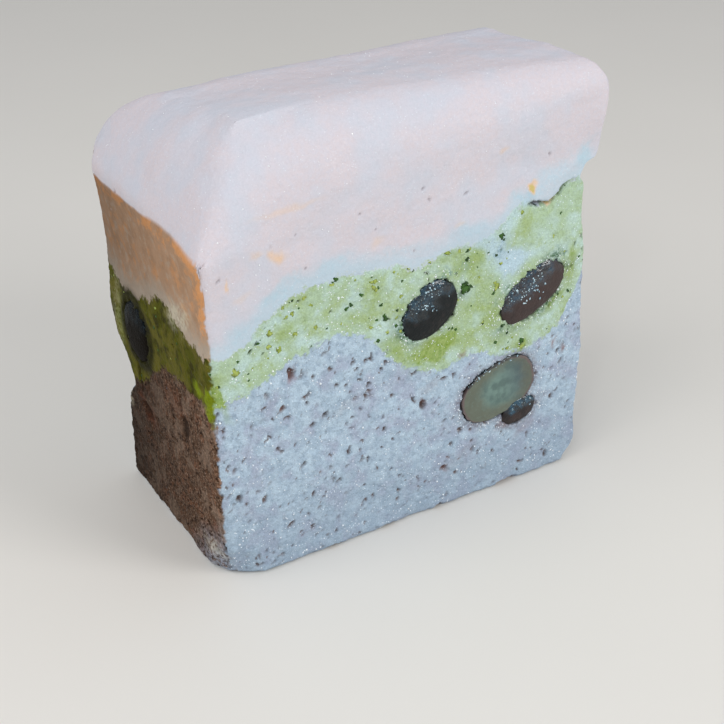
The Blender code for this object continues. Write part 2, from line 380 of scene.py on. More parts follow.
def spread(x, y, z):
    # moves places in the plain block to where they lie in the cut slab
    u, v = x / slab["length"], y / slab["depth"]
    foot = footInset(z)
    leftOut = along(slab["leftOut"], z) - foot + unevenness(3.0, y, z)
    rightOut = along(slab["rightOut"], z) - foot + unevenness(90.0, y, z)
    bulge = slab["frontBulge"] * easeIn(x, *slab["bulgeAlong"]) * easeIn(z, *slab["bulgeHeights"])
    frontOut = bulge - foot + unevenness(x, 40.0, z)
    backOut = along(slab["backOut"], z) * (1 - easeIn(x, 1.0, slab["backOutSpan"]))
    backOut = backOut + unevenness(x, 80.0, z) - foot
    worn = np.maximum(1 - np.sqrt(x * x + y * y + z * z) / slab["wornReach"], 0) * slab["wornDepth"]
    leftOut, frontOut = leftOut - worn, frontOut - worn
    roundX, roundY = roundCorner(x, y)
    roundX = roundX + rightOut * u ** 3 - leftOut * (1 - u) ** 3
    roundY = roundY + backOut * v ** 3 - frontOut * (1 - v) ** 3
    return np.stack([roundX, roundY, z], axis=-1)


# what breaks the crumb: pores, cracks, chips, and the beans' sockets

# half sizes in x, y and z before the bean is tilted up to the right in the face
# tone sets brown against black, and below zero it paints the side bean near-black, a painted shade; sheen
# sets how strong the painted reflection and painted highlights are; glintTurn turns the side that carries
# them; spot is where the glint dots gather
beans = {
    "bean_front_left": {"centre": (33.8, 1.3, 35.0), "half": (5.0, 2.7, 3.95), "tilt": 38.0, "seed": 3,
                        "blunt": 2.1, "tone": 0.1, "sheen": 0.75, "glintTurn": 78.0,
                        "spot": (0.15, 0.55, 0.42)},
    "bean_front_right": {"centre": (51.8, 1.2, 33.1), "half": (6.2, 2.8, 3.55), "tilt": 31.0, "seed": 5,
                         "blunt": 2.3, "tone": 0.9, "sheen": 0.9, "glintTurn": 84.0,
                         "spot": (-0.05, 0.42, 0.40)},
    "bean_tip": {"centre": (50.3, 0.9, 13.1), "half": (3.2, 1.7, 2.1), "tilt": 16.0, "seed": 7,
                 "blunt": 2.0, "tone": 0.5, "sheen": 1.8, "glintTurn": 75.0, "spot": (0.4, 0.35, 0.35)},
    "bean_cut": {"centre": (46.3, 0.3, 18.1), "half": (6.7, 3.8, 4.75), "tilt": 17.0, "seed": 9,
                 "blunt": 2.4, "tone": 0.3, "sheen": 0.8, "glintTurn": 92.0, "spot": (0.0, 0.95, 0.5)},
    "bean_side": {"centre": (1.7, 26.3, 29.4), "half": (2.7, 4.5, 4.9), "tilt": 0.0, "seed": 11,
                  "blunt": 2.0, "tone": -0.6, "sheen": 0.3, "glintTurn": 90.0, "spot": (0.0, 0.9, 0.0)},
}
cutFace = -0.15

crumb = {
    "frontPoints": 270,
    "rightPoints": 96,
    "backPoints": 130,
    "leftPoints": 122,
    "mauveRows": 124,
    "greenRows": 78,
    "pinkRows": 54,
    "shoulderRows": 54,
    "topSpacing": 0.32,
    "innerSpacing": 2.5,
    "sink": 0.06,
    "halfSeam": 0.15,
    "poreSizes": (0.11, 0.27),
    "scatteredPores": {"mauve": 0.13, "green": 0.03, "pink": 0.012},  # for each square millimetre
}

# larger pores on the front: place along, height, half width, half height, turn in degrees, depth
frontPores = [
    (11.7, 31.6, 0.55, 0.95, 10, 0.9), (13.6, 27.3, 0.45, 0.35, 0, 0.6), (21.9, 29.2, 0.35, 0.3, 0, 0.6),
    (23.6, 30.0, 0.9, 0.16, 30, 0.5), (23.8, 26.0, 0.35, 0.5, 60, 0.7), (16.7, 23.5, 0.5, 0.75, -20, 0.9),
    (14.7, 22.4, 0.4, 0.4, 0, 0.7), (14.0, 26.3, 0.5, 0.3, -20, 0.6), (10.2, 26.6, 0.45, 0.4, 20, 0.5),
    (32.8, 19.8, 0.4, 0.95, 20, 1.0), (36.7, 7.3, 0.55, 0.5, 0, 0.7), (2.9, 14.3, 0.45, 0.7, 10, 0.9),
    (13.0, 16.3, 0.8, 0.35, 30, 0.8), (10.8, 7.0, 0.6, 0.35, 10, 0.6), (9.8, 19.7, 0.4, 0.3, 0, 0.5),
    (26.3, 17.8, 0.5, 0.3, 40, 0.6), (20.4, 16.2, 0.6, 0.3, 50, 0.6), (18.6, 11.8, 0.45, 0.4, 0, 0.6),
    (6.7, 12.8, 0.4, 0.6, -30, 0.5), (31.2, 25.4, 0.45, 0.3, 20, 0.6), (28.6, 6.0, 0.4, 0.3, 0, 0.5),
    (39.6, 13.0, 0.5, 0.4, 0, 0.6), (43.0, 8.2, 0.4, 0.3, 20, 0.5), (56.8, 13.5, 0.35, 0.5, 0, 0.6),
    (57.5, 21.5, 0.4, 0.3, 30, 0.6), (21.0, 21.5, 0.35, 0.25, 0, 0.5), (27.6, 22.9, 0.35, 0.22, 10, 0.5),
    (9.8, 50.8, 0.22, 0.2, 0, 0.3), (2.1, 47.9, 0.25, 0.25, 0, 0.3), (14.6, 46.6, 0.25, 0.2, 0, 0.3),
    (6.9, 37.6, 0.4, 0.16, 20, 0.6), (13.4, 42.0, 0.3, 0.2, 0, 0.5), (33.7, 51.7, 0.2, 0.2, 0, 0.3),
]

# cracks and chips: side, place along, height, half width, half height, turn in degrees, depth
breaks = {
    "lens under the pink flap": ("front", 52.3, 46.95, 1.75, 0.42, -13, 2.2),
    "end of the flap": ("front", 54.6, 46.9, 0.9, 0.2, 38, 1.0),
    "crack by the flap": ("front", 56.6, 48.5, 1.9, 0.17, 42, 1.0),
    "hairline in the pink": ("front", 3.4, 46.9, 0.08, 0.7, 8, 0.2),
    "chip at the foot": ("front", 48.6, 0.2, 2.2, 0.75, 4, 1.3),
    "nick at the foot": ("front", 36.2, 0.2, 0.8, 0.8, 0, 1.2),
    "second nick": ("front", 27.0, 0.0, 1.4, 0.4, 0, 0.8),
    "third nick": ("front", 17.5, 0.0, 1.2, 0.4, 0, 0.7),
    "crevice under the side bean": ("left", 27.4, 21.6, 0.4, 2.6, -18, 1.1),
    "red hollow": ("left", 25.6, 16.2, 1.9, 1.1, 20, 0.7),
    "torn place": ("left", 11.0, 21.0, 1.3, 2.2, 10, 0.5),
}

# soft patches of colour on each side: place along, height, half width, half height, turn, strength
patches = {
    ("warm", "front"): [(10.6, 49.4, 1.5, 0.7, -30, 1.0), (7.6, 50.2, 1.0, 0.5, 0, 0.5),
        (3.4, 46.9, 0.22, 1.1, 8, 1.0), (50.9, 49.5, 0.5, 1.2, 10, 2.0), (54.2, 47.1, 0.8, 0.55, 20, 2.0),
        (45.6, 56.5, 0.7, 0.4, 0, 0.5), (25.5, 47.5, 1.1, 0.5, 20, 0.4), (38.6, 46.9, 0.9, 0.4, 0, 0.4),
        (12.6, 55.2, 4.6, 0.4, 5, 0.45), (5.2, 44.6, 1.4, 0.5, 30, 0.3)],
    ("haze", "front"): [(4.6, 39.4, 3.0, 1.5, 30, 0.9), (10.5, 43.6, 4.5, 1.5, 30, 1.0),
        (18.0, 45.6, 4.5, 1.3, 5, 0.9), (30.0, 44.8, 8.0, 1.3, -4, 0.6), (41.0, 45.2, 5.0, 1.7, 0, 0.9),
        (49.5, 48.2, 3.2, 1.5, 0, 1.0), (48.2, 39.2, 3.2, 2.4, 28, 1.3), (60.0, 52.0, 1.6, 3.0, 0, 0.8),
        (45.0, 41.6, 3.4, 1.5, -40, 1.0), (46.6, 43.8, 2.4, 1.2, 70, 0.6), (24.0, 32.0, 3.0, 1.2, 20, 0.3),
        (55.0, 50.6, 5.0, 2.6, 20, 0.8), (28.5, 33.0, 2.5, 2.0, 40, 0.3), (44.5, 22.9, 3.5, 1.0, 0, 0.5)],
    ("lime", "front"): [(34.6, 28.4, 4.6, 2.0, 12, 1.9), (50.2, 24.6, 1.6, 1.2, 0, 1.2),
        (58.8, 36.2, 0.9, 3.4, -8, 0.9), (56.0, 30.4, 3.0, 0.8, 30, 1.0), (28.0, 31.0, 1.5, 2.6, 30, 0.8),
        (0.4, 31.0, 1.0, 3.4, 0, 0.8), (37.0, 42.6, 3.0, 0.8, 10, 0.5), (47.0, 27.5, 3.5, 1.6, 20, 0.5),
        (42.6, 35.5, 3.4, 5.0, 20, 0.4), (45.0, 31.0, 3.0, 2.4, 0, 0.4), (40.6, 40.6, 2.6, 1.6, 20, 0.6),
        (54.5, 42.0, 2.4, 2.6, 0, 0.2), (24.5, 38.5, 3.4, 2.4, 10, 0.3), (12.0, 38.0, 3.4, 1.6, 30, 0.3),
        (1.3, 30.0, 3.2, 0.6, -68, 1.8)],
    ("teal", "front"): [(55.4, 37.4, 2.2, 1.5, 35, 1.0), (35.8, 39.4, 2.2, 1.0, 20, 0.9),
        (30.0, 33.5, 1.2, 2.4, 20, 0.6), (39.0, 40.0, 1.6, 1.0, 0, 0.5), (45.6, 41.4, 1.6, 1.4, 20, 0.7)],
    ("lime", "left"): [(0.8, 29.6, 1.5, 3.0, 0, 1.6), (33.0, 28.0, 2.6, 8.0, 6, 0.4),
        (4.4, 30.6, 2.2, 1.0, 40, 0.8)],
    ("mint", "front"): [(56.5, 44.0, 5.0, 4.0, 0, 1.0), (32.0, 40.5, 4.0, 2.0, 0, 0.6),
        (3.0, 35.0, 3.0, 2.0, 30, 0.8), (38.5, 32.0, 2.4, 2.4, 40, 0.7)],
    ("pale", "left"): [(9.4, 39.4, 4.2, 2.0, -20, 1.0), (33.5, 29.0, 2.0, 8.0, 6, 0.35),
        (33.4, 15.3, 1.2, 1.6, 0, 0.8), (4.0, 4.2, 3.0, 1.4, 0, 0.6)],
    ("ruddy", "left"): [(25.6, 16.2, 3.4, 1.8, 20, 1.0), (14.0, 24.0, 4.0, 2.0, 0, 0.5)],
    ("ruddy", "front"): [(32.8, 19.8, 0.5, 1.0, 20, 1.0), (11.7, 31.5, 0.6, 1.0, 10, 0.9),
        (36.7, 7.3, 0.6, 0.5, 0, 0.8), (10.2, 26.6, 0.5, 0.4, 20, 0.8), (39.8, 26.0, 0.7, 0.6, 0, 0.7),
        (49.0, 11.4, 2.2, 0.8, 10, 0.6), (58.3, 21.6, 0.5, 0.7, 20, 1.0), (56.6, 23.0, 0.4, 0.8, -20, 0.8),
        (34.0, 22.4, 1.8, 0.8, 20, 0.3), (51.5, 9.4, 2.4, 1.0, 30, 0.35), (20.0, 24.0, 3.0, 0.9, 20, 0.2),
        (40.0, 9.0, 3.0, 1.2, 30, 0.2)],
}


def inOval(places, across, height, halfWidth, halfHeight, turn):
    # how far places lie along and across a turned oval, in its half sizes
    angle = math.radians(turn)
    du, dw = places[:, 0] - across, places[:, 1] - height
    long = (du * math.cos(angle) + dw * math.sin(angle)) / halfWidth
    wide = (dw * math.cos(angle) - du * math.sin(angle)) / halfHeight
    return long, wide


def faceDistance(places, *oval, blunt=2.0):
    # 0 in the middle of the oval, 1 on its rim; blunt over 2 fills its corners out
    long, wide = inOval(places, *oval)
    return (np.abs(long) ** blunt + np.abs(wide) ** blunt) ** (1 / blunt)


def chipDistance(places, *oval):
    # the same for an angular chip, whose sides are drawn by lot
    long, wide = inOval(places, *oval)
    rng = np.random.default_rng(int(oval[0] * 131 + oval[1] * 977))
    count = rng.integers(4, 7)
    turns = (np.arange(count) + rng.uniform(-0.3, 0.3, count)) * 2 * math.pi / count
    reaches = rng.uniform(0.62, 1.1, count)
    return np.max([(long * math.cos(t) + wide * math.sin(t)) / r for t, r in zip(turns, reaches)], axis=0)


def scatterPores(side, length):
    # small pores, many in the mauve layer and few in the pink
    pores = []
    rng = np.random.default_rng(len(side) * 7 + int(length))
    smallest, further = crumb["poreSizes"]
    for layer, density in crumb["scatteredPores"].items():
        for _ in range(int(density * length * 60)):
            across, height = rng.uniform(0.6, length - 0.6), rng.uniform(0.8, 60)
            radius = smallest + further * rng.random() ** 3
            spot = {"front": (across, 0.0), "back": (across, slab["depth"]), "left": (0.0, across),
                    "right": (slab["length"], across)}[side]
            pinkLow = float(sheet(pinkEdges, np.array(spot[0]), np.array(spot[1])))
            mauveHigh = float(sheet(mauveEdges, np.array(spot[0]), np.array(spot[1])))
            inLayer = "pink" if height > pinkLow else "green" if height > mauveHigh else "mauve"
            if inLayer == layer:
                stretch = rng.uniform(0.6, 1.7)
                pores.append((across, height, radius * stretch, radius / stretch, rng.uniform(-90, 90),
                              radius * 1.6))
    return pores


def beanReach(bean, places, side):
    # distance from a bean's middle in the face, 1 at its widest outline
    cx, cy, cz = bean["centre"]
    hx, hy, hz = bean["half"]
    if side == "left":
        return faceDistance(places, cy, cz, hy, hz, 0.0)
    return faceDistance(places, cx, cz, hx, hz, bean["tilt"], blunt=bean["blunt"])


def layerHeights(x, y, z):
    return z - sheet(pinkEdges, x, y), z - sheet(mauveEdges, x, y)


def relief(points, overPink, overMauve, sides, walls):
    # how far each point of the skin is pushed out, and what the surface carries there
    inMauve = easeIn(overMauve, 0.5, -0.5)
    inPink = easeIn(overPink, -0.5, 0.5)
    rough = 0.25 + 0.75 * inMauve + 0.25 * (1 - inPink) * (1 - inMauve)
    push = 0.10 * grain(points, 3.2, 1) + 0.05 * grain(points, 1.4, 2) * (0.5 + 0.5 * rough)
    push += (0.02 + 0.08 * rough) * grain(points, 0.7, 3) + (0.012 + 0.03 * rough) * grain(points, 0.42, 23)
    push += rough * 0.13 * (0.45 - kernels(points, 1.15, 4))
    push += rough * 0.05 * (0.45 - kernels(points, 0.62, 5))
    gaps = easeIn(grain(points, 0.9, 18) + 0.35 * grain(points, 0.45, 19), 0.5, 0.85)
    gaps *= easeIn(grain(points, 4.0, 20), -0.4, 0.3)
    push -= 0.42 * gaps * rough ** 2
    tints = sorted({kind for kind, _ in patches})
    marks = {name: np.zeros(len(points)) for name in ("pore", "stain", "socket", *tints)}
    warp = 0.22 * np.stack([grain(points, 0.9, 6), grain(points, 0.9, 7)], axis=1)
    warp += 0.10 * np.stack([grain(points, 0.4, 8), grain(points, 0.4, 9)], axis=1)
    softWarp = 0.9 * np.stack([grain(points, 2.2, 10), grain(points, 2.2, 11)], axis=1)
    softWarp += 0.5 * np.stack([grain(points, 0.8, 12), grain(points, 0.8, 13)], axis=1)
    marks["pore"] += 0.6 * gaps * rough ** 2
    flap = easeIn(points[:, 0], 49.5, 51.5) * easeIn(points[:, 0], 60, 57) * (sides == 0) * walls
    push += flap * 0.42 * easeIn(overPink, -0.15, 0.35) * easeIn(overPink, 5.0, 1.5)
    push -= flap * 0.25 * easeIn(overPink, -3.0, -0.6) * easeIn(overPink, 0.2, -0.2)
    lengths = {"front": slab["length"], "right": slab["depth"], "back": slab["length"],
               "left": slab["depth"]}
    for number, (side, length) in enumerate(lengths.items()):
        here = np.flatnonzero((sides == number) & (walls > 0))
        axis = 0 if side in ("front", "back") else 1
        flat = points[here][:, [axis, 2]]
        cuts = scatterPores(side, length) + (frontPores if side == "front" else [])
        cuts += [entry[1:] for entry in breaks.values() if entry[0] == side]
        for *oval, depth in cuts:
            span = max(oval[2:4])
            near = here[np.max(np.abs(flat - oval[:2]), axis=1) < 1.5 * span + 0.5]
            measure = chipDistance if span < 1.0 else faceDistance
            hollow = easeIn(measure(points[near][:, [axis, 2]] + warp[near], *oval), 1.15, 0.7)
            push[near] -= depth * hollow
            marks["pore"][near] = np.maximum(marks["pore"][near], hollow)
        for kind, where in patches:
            for *oval, strength in patches[kind, where] if where == side else []:
                far = faceDistance(flat + softWarp[here] * min(1.0, oval[3]), *oval)
                marks[kind][here] += strength * easeIn(far, 1.5, 0.2)
        for name, bean in beans.items():
            if (name == "bean_side") == (side == "left") and side in ("front", "left"):
                size = min(bean["half"][0], bean["half"][2]) if side == "front" else bean["half"][1]
                far = beanReach(bean, flat + warp[here] * 0.5, side)
                clear = (far - 1) * size
                # stain: how near a bean's outline; on the end face it carries the painted shade of the
                # hollow round the side bean
                marks["stain"][here] = np.maximum(marks["stain"][here], easeIn(clear, 2.6, 0.0))
                lip = easeIn(clear, 1.3, 0.1) * (0.34 if name != "bean_cut" else 0.08)
                lumpy = 0.9 * grain(points[here], 1.3, 14) + 0.4 * grain(points[here], 0.5, 26)
                push[here] += lip * (0.5 + lumpy)
    for name in tints:
        marks[name] = np.clip(marks[name], 0, 2)
    return push, marks


def openSockets(points, sides, walls, marks):
    # sinks the skin behind each bean, so that the bean sits in a hollow of its own shape
    jag = 0.12 * grain(points, 1.3, 15) + 0.09 * grain(points, 0.5, 16)
    for name, bean in beans.items():
        side = "left" if name == "bean_side" else "front"
        axis = 0 if side == "left" else 1
        here = np.flatnonzero((sides == (3 if side == "left" else 0)) & (walls > 0))
        flat = points[here][:, [1 if side == "left" else 0, 2]]
        far = beanReach(bean, flat, side)
        inside = far < (0.95 + jag[here] * 0.9 if name != "bean_cut" else 0.99 + jag[here] * 0.25)
        back = bean["centre"][axis] + bean["half"][axis] + 0.25
        behind = back * np.sqrt(np.clip(1 - (far / 1.04) ** 2, 0, 1))
        chosen = here[inside]
        points[chosen, axis] = np.maximum(points[chosen, axis], behind[inside])
        marks["socket"][chosen] = 1.0
    return points


def roundPlaces():
    # places round the plain block, anticlockwise seen from above, and the side each is on
    length, depth = slab["length"], slab["depth"]
    sides = []
    for number, (count, span) in enumerate([(crumb["frontPoints"], length), (crumb["rightPoints"], depth),
                                            (crumb["backPoints"], length), (crumb["leftPoints"], depth)]):
        step = np.linspace(0, span, count, endpoint=False)
        full, none = np.full(count, 1.0), np.zeros(count)
        x = [step, full * length, length - step, none][number]
        y = [none, step, full * depth, depth - step][number]
        sides.append(np.stack([x, y, full * number]))
    return np.concatenate(sides, axis=1)


def slope(height, x, y):
    # upward normals of a surface given as a height
    step = 0.05
    dx = (height(x + step, y) - height(x - step, y)) / (2 * step)
    dy = (height(x, y + step) - height(x, y - step)) / (2 * step)
    normals = np.stack([-dx, -dy, np.ones(len(x))], axis=1)
    return normals / np.linalg.norm(normals, axis=1)[:, None]


def fillRing(ringX, ringY, spacing, seed):
    # points spread inside a ring, and the triangles that join them to it
    rng = np.random.default_rng(seed)
    xs = np.arange(ringX.min() + spacing * 0.8, ringX.max() - spacing * 0.6, spacing)
    ys = np.arange(ringY.min() + spacing * 0.8, ringY.max() - spacing * 0.6, spacing)
    inner = np.stack(np.meshgrid(xs, ys), axis=-1).reshape(-1, 2)
    inner += rng.uniform(-0.12, 0.12, inner.shape) * spacing
    order = np.argsort(ringX[ringY < ringY.mean()])
    lowX, lowY = ringX[ringY < ringY.mean()][order], ringY[ringY < ringY.mean()][order]
    inner = inner[inner[:, 1] > np.interp(inner[:, 0], lowX, lowY) + spacing * 0.6]
    places = np.concatenate([np.stack([ringX, ringY], axis=1), inner])
    count = len(ringX)
    edges = [(i, (i + 1) % count) for i in range(count)]
    result = geometry.delaunay_2d_cdt([Vector(place) for place in places.tolist()], edges, [], 1, 1e-7)
    return places, [tuple(face) for face in result[2]], len(result[0]) == len(places)


def softenDomeCorner(skin, xs, ys):
    # relaxes the skin where the dome passes over the front left corner, so that no ridge is left
    reach = slab["softenReach"]
    patch = np.roll(skin, reach, axis=1)[:, :2 * reach].copy()
    x, y = (np.roll(values, reach, axis=1)[:, :2 * reach] for values in (xs, ys))
    ease = easeIn(patch[:, :, 2], *slab["softenHeights"])
    ease = ease * (1 - easeIn(x, *slab["softenAlong"])) * (1 - easeIn(y, *slab["softenDeep"]))
    ease[-4:] = 0
    ease = slab["softenEase"] * ease[1:-1, 1:-1, None]
    for _ in range(slab["softenRounds"]):
        around = (patch[2:, 1:-1] + patch[:-2, 1:-1] + patch[1:-1, 2:] + patch[1:-1, :-2]) / 4
        patch[1:-1, 1:-1] += ease * (around - patch[1:-1, 1:-1])
    rolled = np.roll(skin, reach, axis=1)
    rolled[:, :2 * reach] = patch
    return np.roll(rolled, -reach, axis=1)


def makeSkin():
    # the whole outer skin as one stack of rings, so that the layers meet exactly
    x, y, side = roundPlaces()
    ceiling, floor, rim = sheet(mauveEdges, x, y), sheet(pinkEdges, x, y), topHeight(x, y)
    heights = [ceiling * share ** 1.12 for share in np.linspace(0, 1, crumb["mauveRows"])]
    heights += [ceiling + (floor - ceiling) * share for share in np.linspace(0, 1, crumb["greenRows"])[1:]]
    heights += [floor + (rim - floor) * share for share in np.linspace(0, 1, crumb["pinkRows"])[1:]]
    xs, ys, zs = [x] * len(heights), [y] * len(heights), list(heights)
    for turn in np.linspace(0, math.pi / 2, crumb["shoulderRows"])[1:]:
        share = 1 - math.cos(turn)
        left, right = slab["leftShoulder"] * share, slab["rightShoulder"] * share
        front, back = along(slab["frontShoulder"], x) * share, slab["backShoulder"] * share
        xs.append(left + x / slab["length"] * (slab["length"] - left - right))
        ys.append(front + y / slab["depth"] * (slab["depth"] - front - back))
        zs.append(topHeight(xs[-1], ys[-1]))
    xs, ys, zs = np.array(xs), np.array(ys), np.array(zs)
    skin = softenDomeCorner(spread(xs, ys, zs), xs, ys)
    sideways = np.roll(skin, -1, axis=1) - np.roll(skin, 1, axis=1)
    upwards = np.empty_like(skin)
    upwards[1:-1] = skin[2:] - skin[:-2]
    upwards[0], upwards[-1] = skin[1] - skin[0], skin[-1] - skin[-2]
    normals = np.cross(sideways, upwards)
    normals /= np.linalg.norm(normals, axis=2)[:, :, None] + 1e-12
    wallRows = len(heights)
    walls = np.zeros(zs.shape)
    walls[:wallRows] = 1.0
    sides = np.broadcast_to(side, zs.shape)
    return {"x": xs, "y": ys, "z": zs, "skin": skin, "normals": normals, "walls": walls, "sides": sides}


def dress(stack):
    # pushes the skin out and in, and works out the numbers that it carries; the solid's own box is kept when
    # the piece is made
    shape = stack["z"].shape
    points = stack["skin"].reshape(-1, 3)
    normals = stack["normals"].reshape(-1, 3)
    overPink, overMauve = layerHeights(stack["x"].ravel(), stack["y"].ravel(), stack["z"].ravel())
    sides, walls = stack["sides"].ravel(), stack["walls"].ravel()
    push, marks = relief(points, overPink, overMauve, sides, walls)
    foot = easeIn(stack["z"].ravel(), 0.0, 0.3)
    moved = points + normals * (push - crumb["sink"])[:, None]
    moved[:, 2] = np.where(foot < 1, points[:, 2] * (1 - foot) + moved[:, 2] * foot, moved[:, 2])
    moved = openSockets(moved, sides, walls, marks)
    marks["overPink"] = np.clip(overPink, -9, 9)
    marks["overMauve"] = np.clip(overMauve, -9, 9)
    under = (topHeight(stack["x"], stack["y"]) - stack["z"]).ravel()
    turned = -normals[:, 0] + 0.20 * grain(points, 1.3, 24) + 0.14 * grain(points, 0.5, 25)
    facing = easeIn(turned, 0.62, 0.8) * (walls + (1 - walls) * easeIn(-normals[:, 0], 0.95, 1.0))
    marks["endFace"] = facing * easeIn(under, -0.1, 0.5)
    # painted light: edgeGlow and underLip are warm bands along the end face's front edge and under its lip,
    # where light coming through the crumb is painted in
    ragged = 1.0 + 0.75 * grain(points, 3.4, 26)
    marks["edgeGlow"] = facing * walls * np.exp(-(stack["y"].ravel() / (2.2 * ragged)) ** 2)
    marks["edgeGlow"] *= 0.35 + 0.65 * easeIn(stack["z"].ravel(), 38.0, 46.0)
    patchy = 0.3 + 0.7 * easeIn(grain(points, 4.5, 29), -0.35, 0.25)
    # inward: how far back along the end face; it darkens the end face there, a painted shade
    marks["inward"] = walls * np.clip(stack["y"].ravel() / slab["depth"], 0, 1)
    # damp: how near the foot; it darkens the front's mauve there, a painted shade
    marks["damp"] = walls * easeIn(stack["z"].ravel() + 2.0 * grain(points, 5.0, 28), 20.0, 0.0)
    marks["underLip"] = facing * walls * np.exp(-((under - 0.5) / (1.8 * ragged)) ** 2) * patchy
    return moved.reshape(*shape, 3), {name: mark.reshape(shape) for name, mark in marks.items()}


def toMesh(name, points, faces, marks, seams):
    # a finished piece in metres, at the origin, with its numbers stored at its points
    mesh = bpy.data.meshes.new(name)
    mesh.from_pydata(toFrame(points).tolist(), [], faces)
    store(mesh, marks)
    mesh.shade_smooth()
    ends = np.empty(len(mesh.edges) * 2, dtype=np.int32)
    mesh.edges.foreach_get("vertices", ends)
    sharp = seams[ends[::2]] & seams[ends[1::2]]
    layer = mesh.attributes.new("sharp_edge", "BOOLEAN", "EDGE")
    layer.data.foreach_set("value", sharp)
    mesh.validate()
    return newPiece(name, mesh)


def stackFaces(rows, columns):
    index = np.arange(rows * columns).reshape(rows, columns)
    right = np.roll(index, -1, axis=1)
    quads = np.stack([index[:-1], right[:-1], right[1:], index[1:]], axis=-1)
    return [tuple(quad) for quad in quads.reshape(-1, 4).tolist()]


def layerPiece(name, stack, skin, marks, node, first, last, lower, upper, seed):
    # one closed layer: its rings from first to last, and what closes it below and above
    rows = last - first + 1
    columns = skin.shape[1]
    points = [skin[first:last + 1].reshape(-1, 3)]
    values = {title: [mark[first:last + 1].ravel()] for title, mark in marks.items()}
    faces = stackFaces(rows, columns)
    seams = np.zeros(rows * columns, bool)
    seams[:columns] = True
    seams[-columns:] = upper != "top"
    total = rows * columns
    for end, ring, flip in ((lower, 0, True), (upper, rows - 1, False)):
        ringX, ringY = stack["x"][first + ring], stack["y"][first + ring]
        spacing = crumb["topSpacing"] if end == "top" else crumb["innerSpacing"]
        places, triangles, clean = fillRing(ringX, ringY, spacing, seed)
        if not clean:
            print("the filling of", name, "moved points")
        innerX, innerY = places[columns:].T
        if end == "top":
            plainZ = topHeight(innerX, innerY)
            base = spread(innerX, innerY, plainZ)
            normals = slope(topHeight, innerX, innerY)
            overPink, overMauve = layerHeights(innerX, innerY, plainZ)
            none = np.zeros(len(innerX))
            push, inner = relief(base, overPink, overMauve, none, none)
            base = base + normals * (push - crumb["sink"])[:, None]
            inner.update(dict.fromkeys(("endFace", "underLip", "edgeGlow", "damp", "inward"), none))
            inner.update(overPink=np.clip(overPink, -9, 9), overMauve=np.clip(overMauve, -9, 9))
        else:
            edges = None if end == "foot" else mauveEdges if end.startswith("mauve") else pinkEdges
            shift = crumb["halfSeam"] * (-1 if end.endswith("Up") else 1)
            plainZ = sheet(edges, innerX, innerY) + shift if edges else np.zeros(len(innerX))
            base = spread(innerX, innerY, plainZ)
            inner = {title: np.zeros(len(innerX)) for title in marks}
        offset = ring * columns
        for triangle in triangles:
            corner = [offset + i if i < columns else total + i - columns for i in triangle]
            faces.append(tuple(reversed(corner)) if flip else tuple(corner))
        points.append(base)
        for title in marks:
            values[title].append(inner[title])
        seams = np.concatenate([seams, np.zeros(len(base), bool)])
        total += len(base)
    values = {title: np.concatenate(parts) for title, parts in values.items()}
    piece = toMesh(name, np.concatenate(points), faces, values, seams)
    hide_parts(node)
    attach(piece, "root")
    print(name, len(piece.data.polygons), "faces")
    return piece


stack = makeSkin()
skin, marks = dress(stack)
mauveTop = crumb["mauveRows"] - 1
greenTop = mauveTop + crumb["greenRows"] - 1
lastRing = len(skin) - 1
cakes = {}
# node, first and last ring, what closes it below and above, seed
layers = {
    "mauve": ("mauve_bottom_layer", 0, mauveTop, "foot", "mauveUp", 1),
    "green": ("green_middle_layer", mauveTop, greenTop, "mauveDown", "pinkUp", 2),
    "pink": ("pink_top_layer", greenTop, lastRing, "pinkDown", "top", 3),
}
for layerName, layerValues in layers.items():
    cakes[layerName + "Cake"] = layerPiece(layerName + "Cake", stack, skin, marks, *layerValues)
print("cake layers made")


# the steamed crumb

# the end paints are darker, warmer copies of the crumb paints, painted for the end face in shade; their Glow
# paints are painted warm light, and endShade is painted shade
crumbPaint = {
    "pink": (202, 200, 210), "pinkWarm": (206, 198, 204), "pinkCool": (196, 200, 211),
    "haze": (178, 201, 214), "peach": (222, 190, 160), "yellow": (198, 182, 112),
    "green": (167, 190, 160), "greenPale": (182, 206, 200), "greenYellow": (154, 174, 110),
    "lime": (122, 148, 58), "limePale": (148, 168, 92), "stain": (48, 88, 40), "teal": (66, 110, 118),
    "mauve": (162, 182, 200), "mauvePale": (180, 200, 216), "mauveLilac": (160, 167, 188),
    "mauveDeep": (134, 151, 170), "mauveDark": (110, 108, 118), "dewWhite": (226, 238, 246),
    # the pore paints are darker and browner: their own brown inside and painted shade in the hollow
    "ruddy": (132, 96, 88), "poreMauve": (116, 98, 92), "poreGreen": (86, 100, 60),
    # socket: the sunk skin behind the beans, painted near-black, a painted shade
    "porePink": (172, 164, 170), "socket": (40, 40, 28), "endPink": (170, 137, 110),
    "endPinkDim": (150, 119, 93), "endPinkGrey": (168, 156, 142), "endPinkGlow": (200, 142, 92),
    "endGreen": (78, 79, 8), "endGreenDark": (52, 50, 6), "endGreenPale": (100, 95, 34),
    "endGreenGlow": (104, 116, 12), "endMauve": (74, 55, 42), "endMauveWarm": (86, 56, 40),
    "endMauveDark": (42, 27, 18), "endMauvePale": (112, 95, 82), "endMauveGlow": (122, 98, 82),
    "endPale": (196, 190, 168), "endLime": (118, 134, 18), "endRuddy": (92, 48, 30),
    "endPore": (44, 32, 24), "endShade": (26, 26, 12),
}


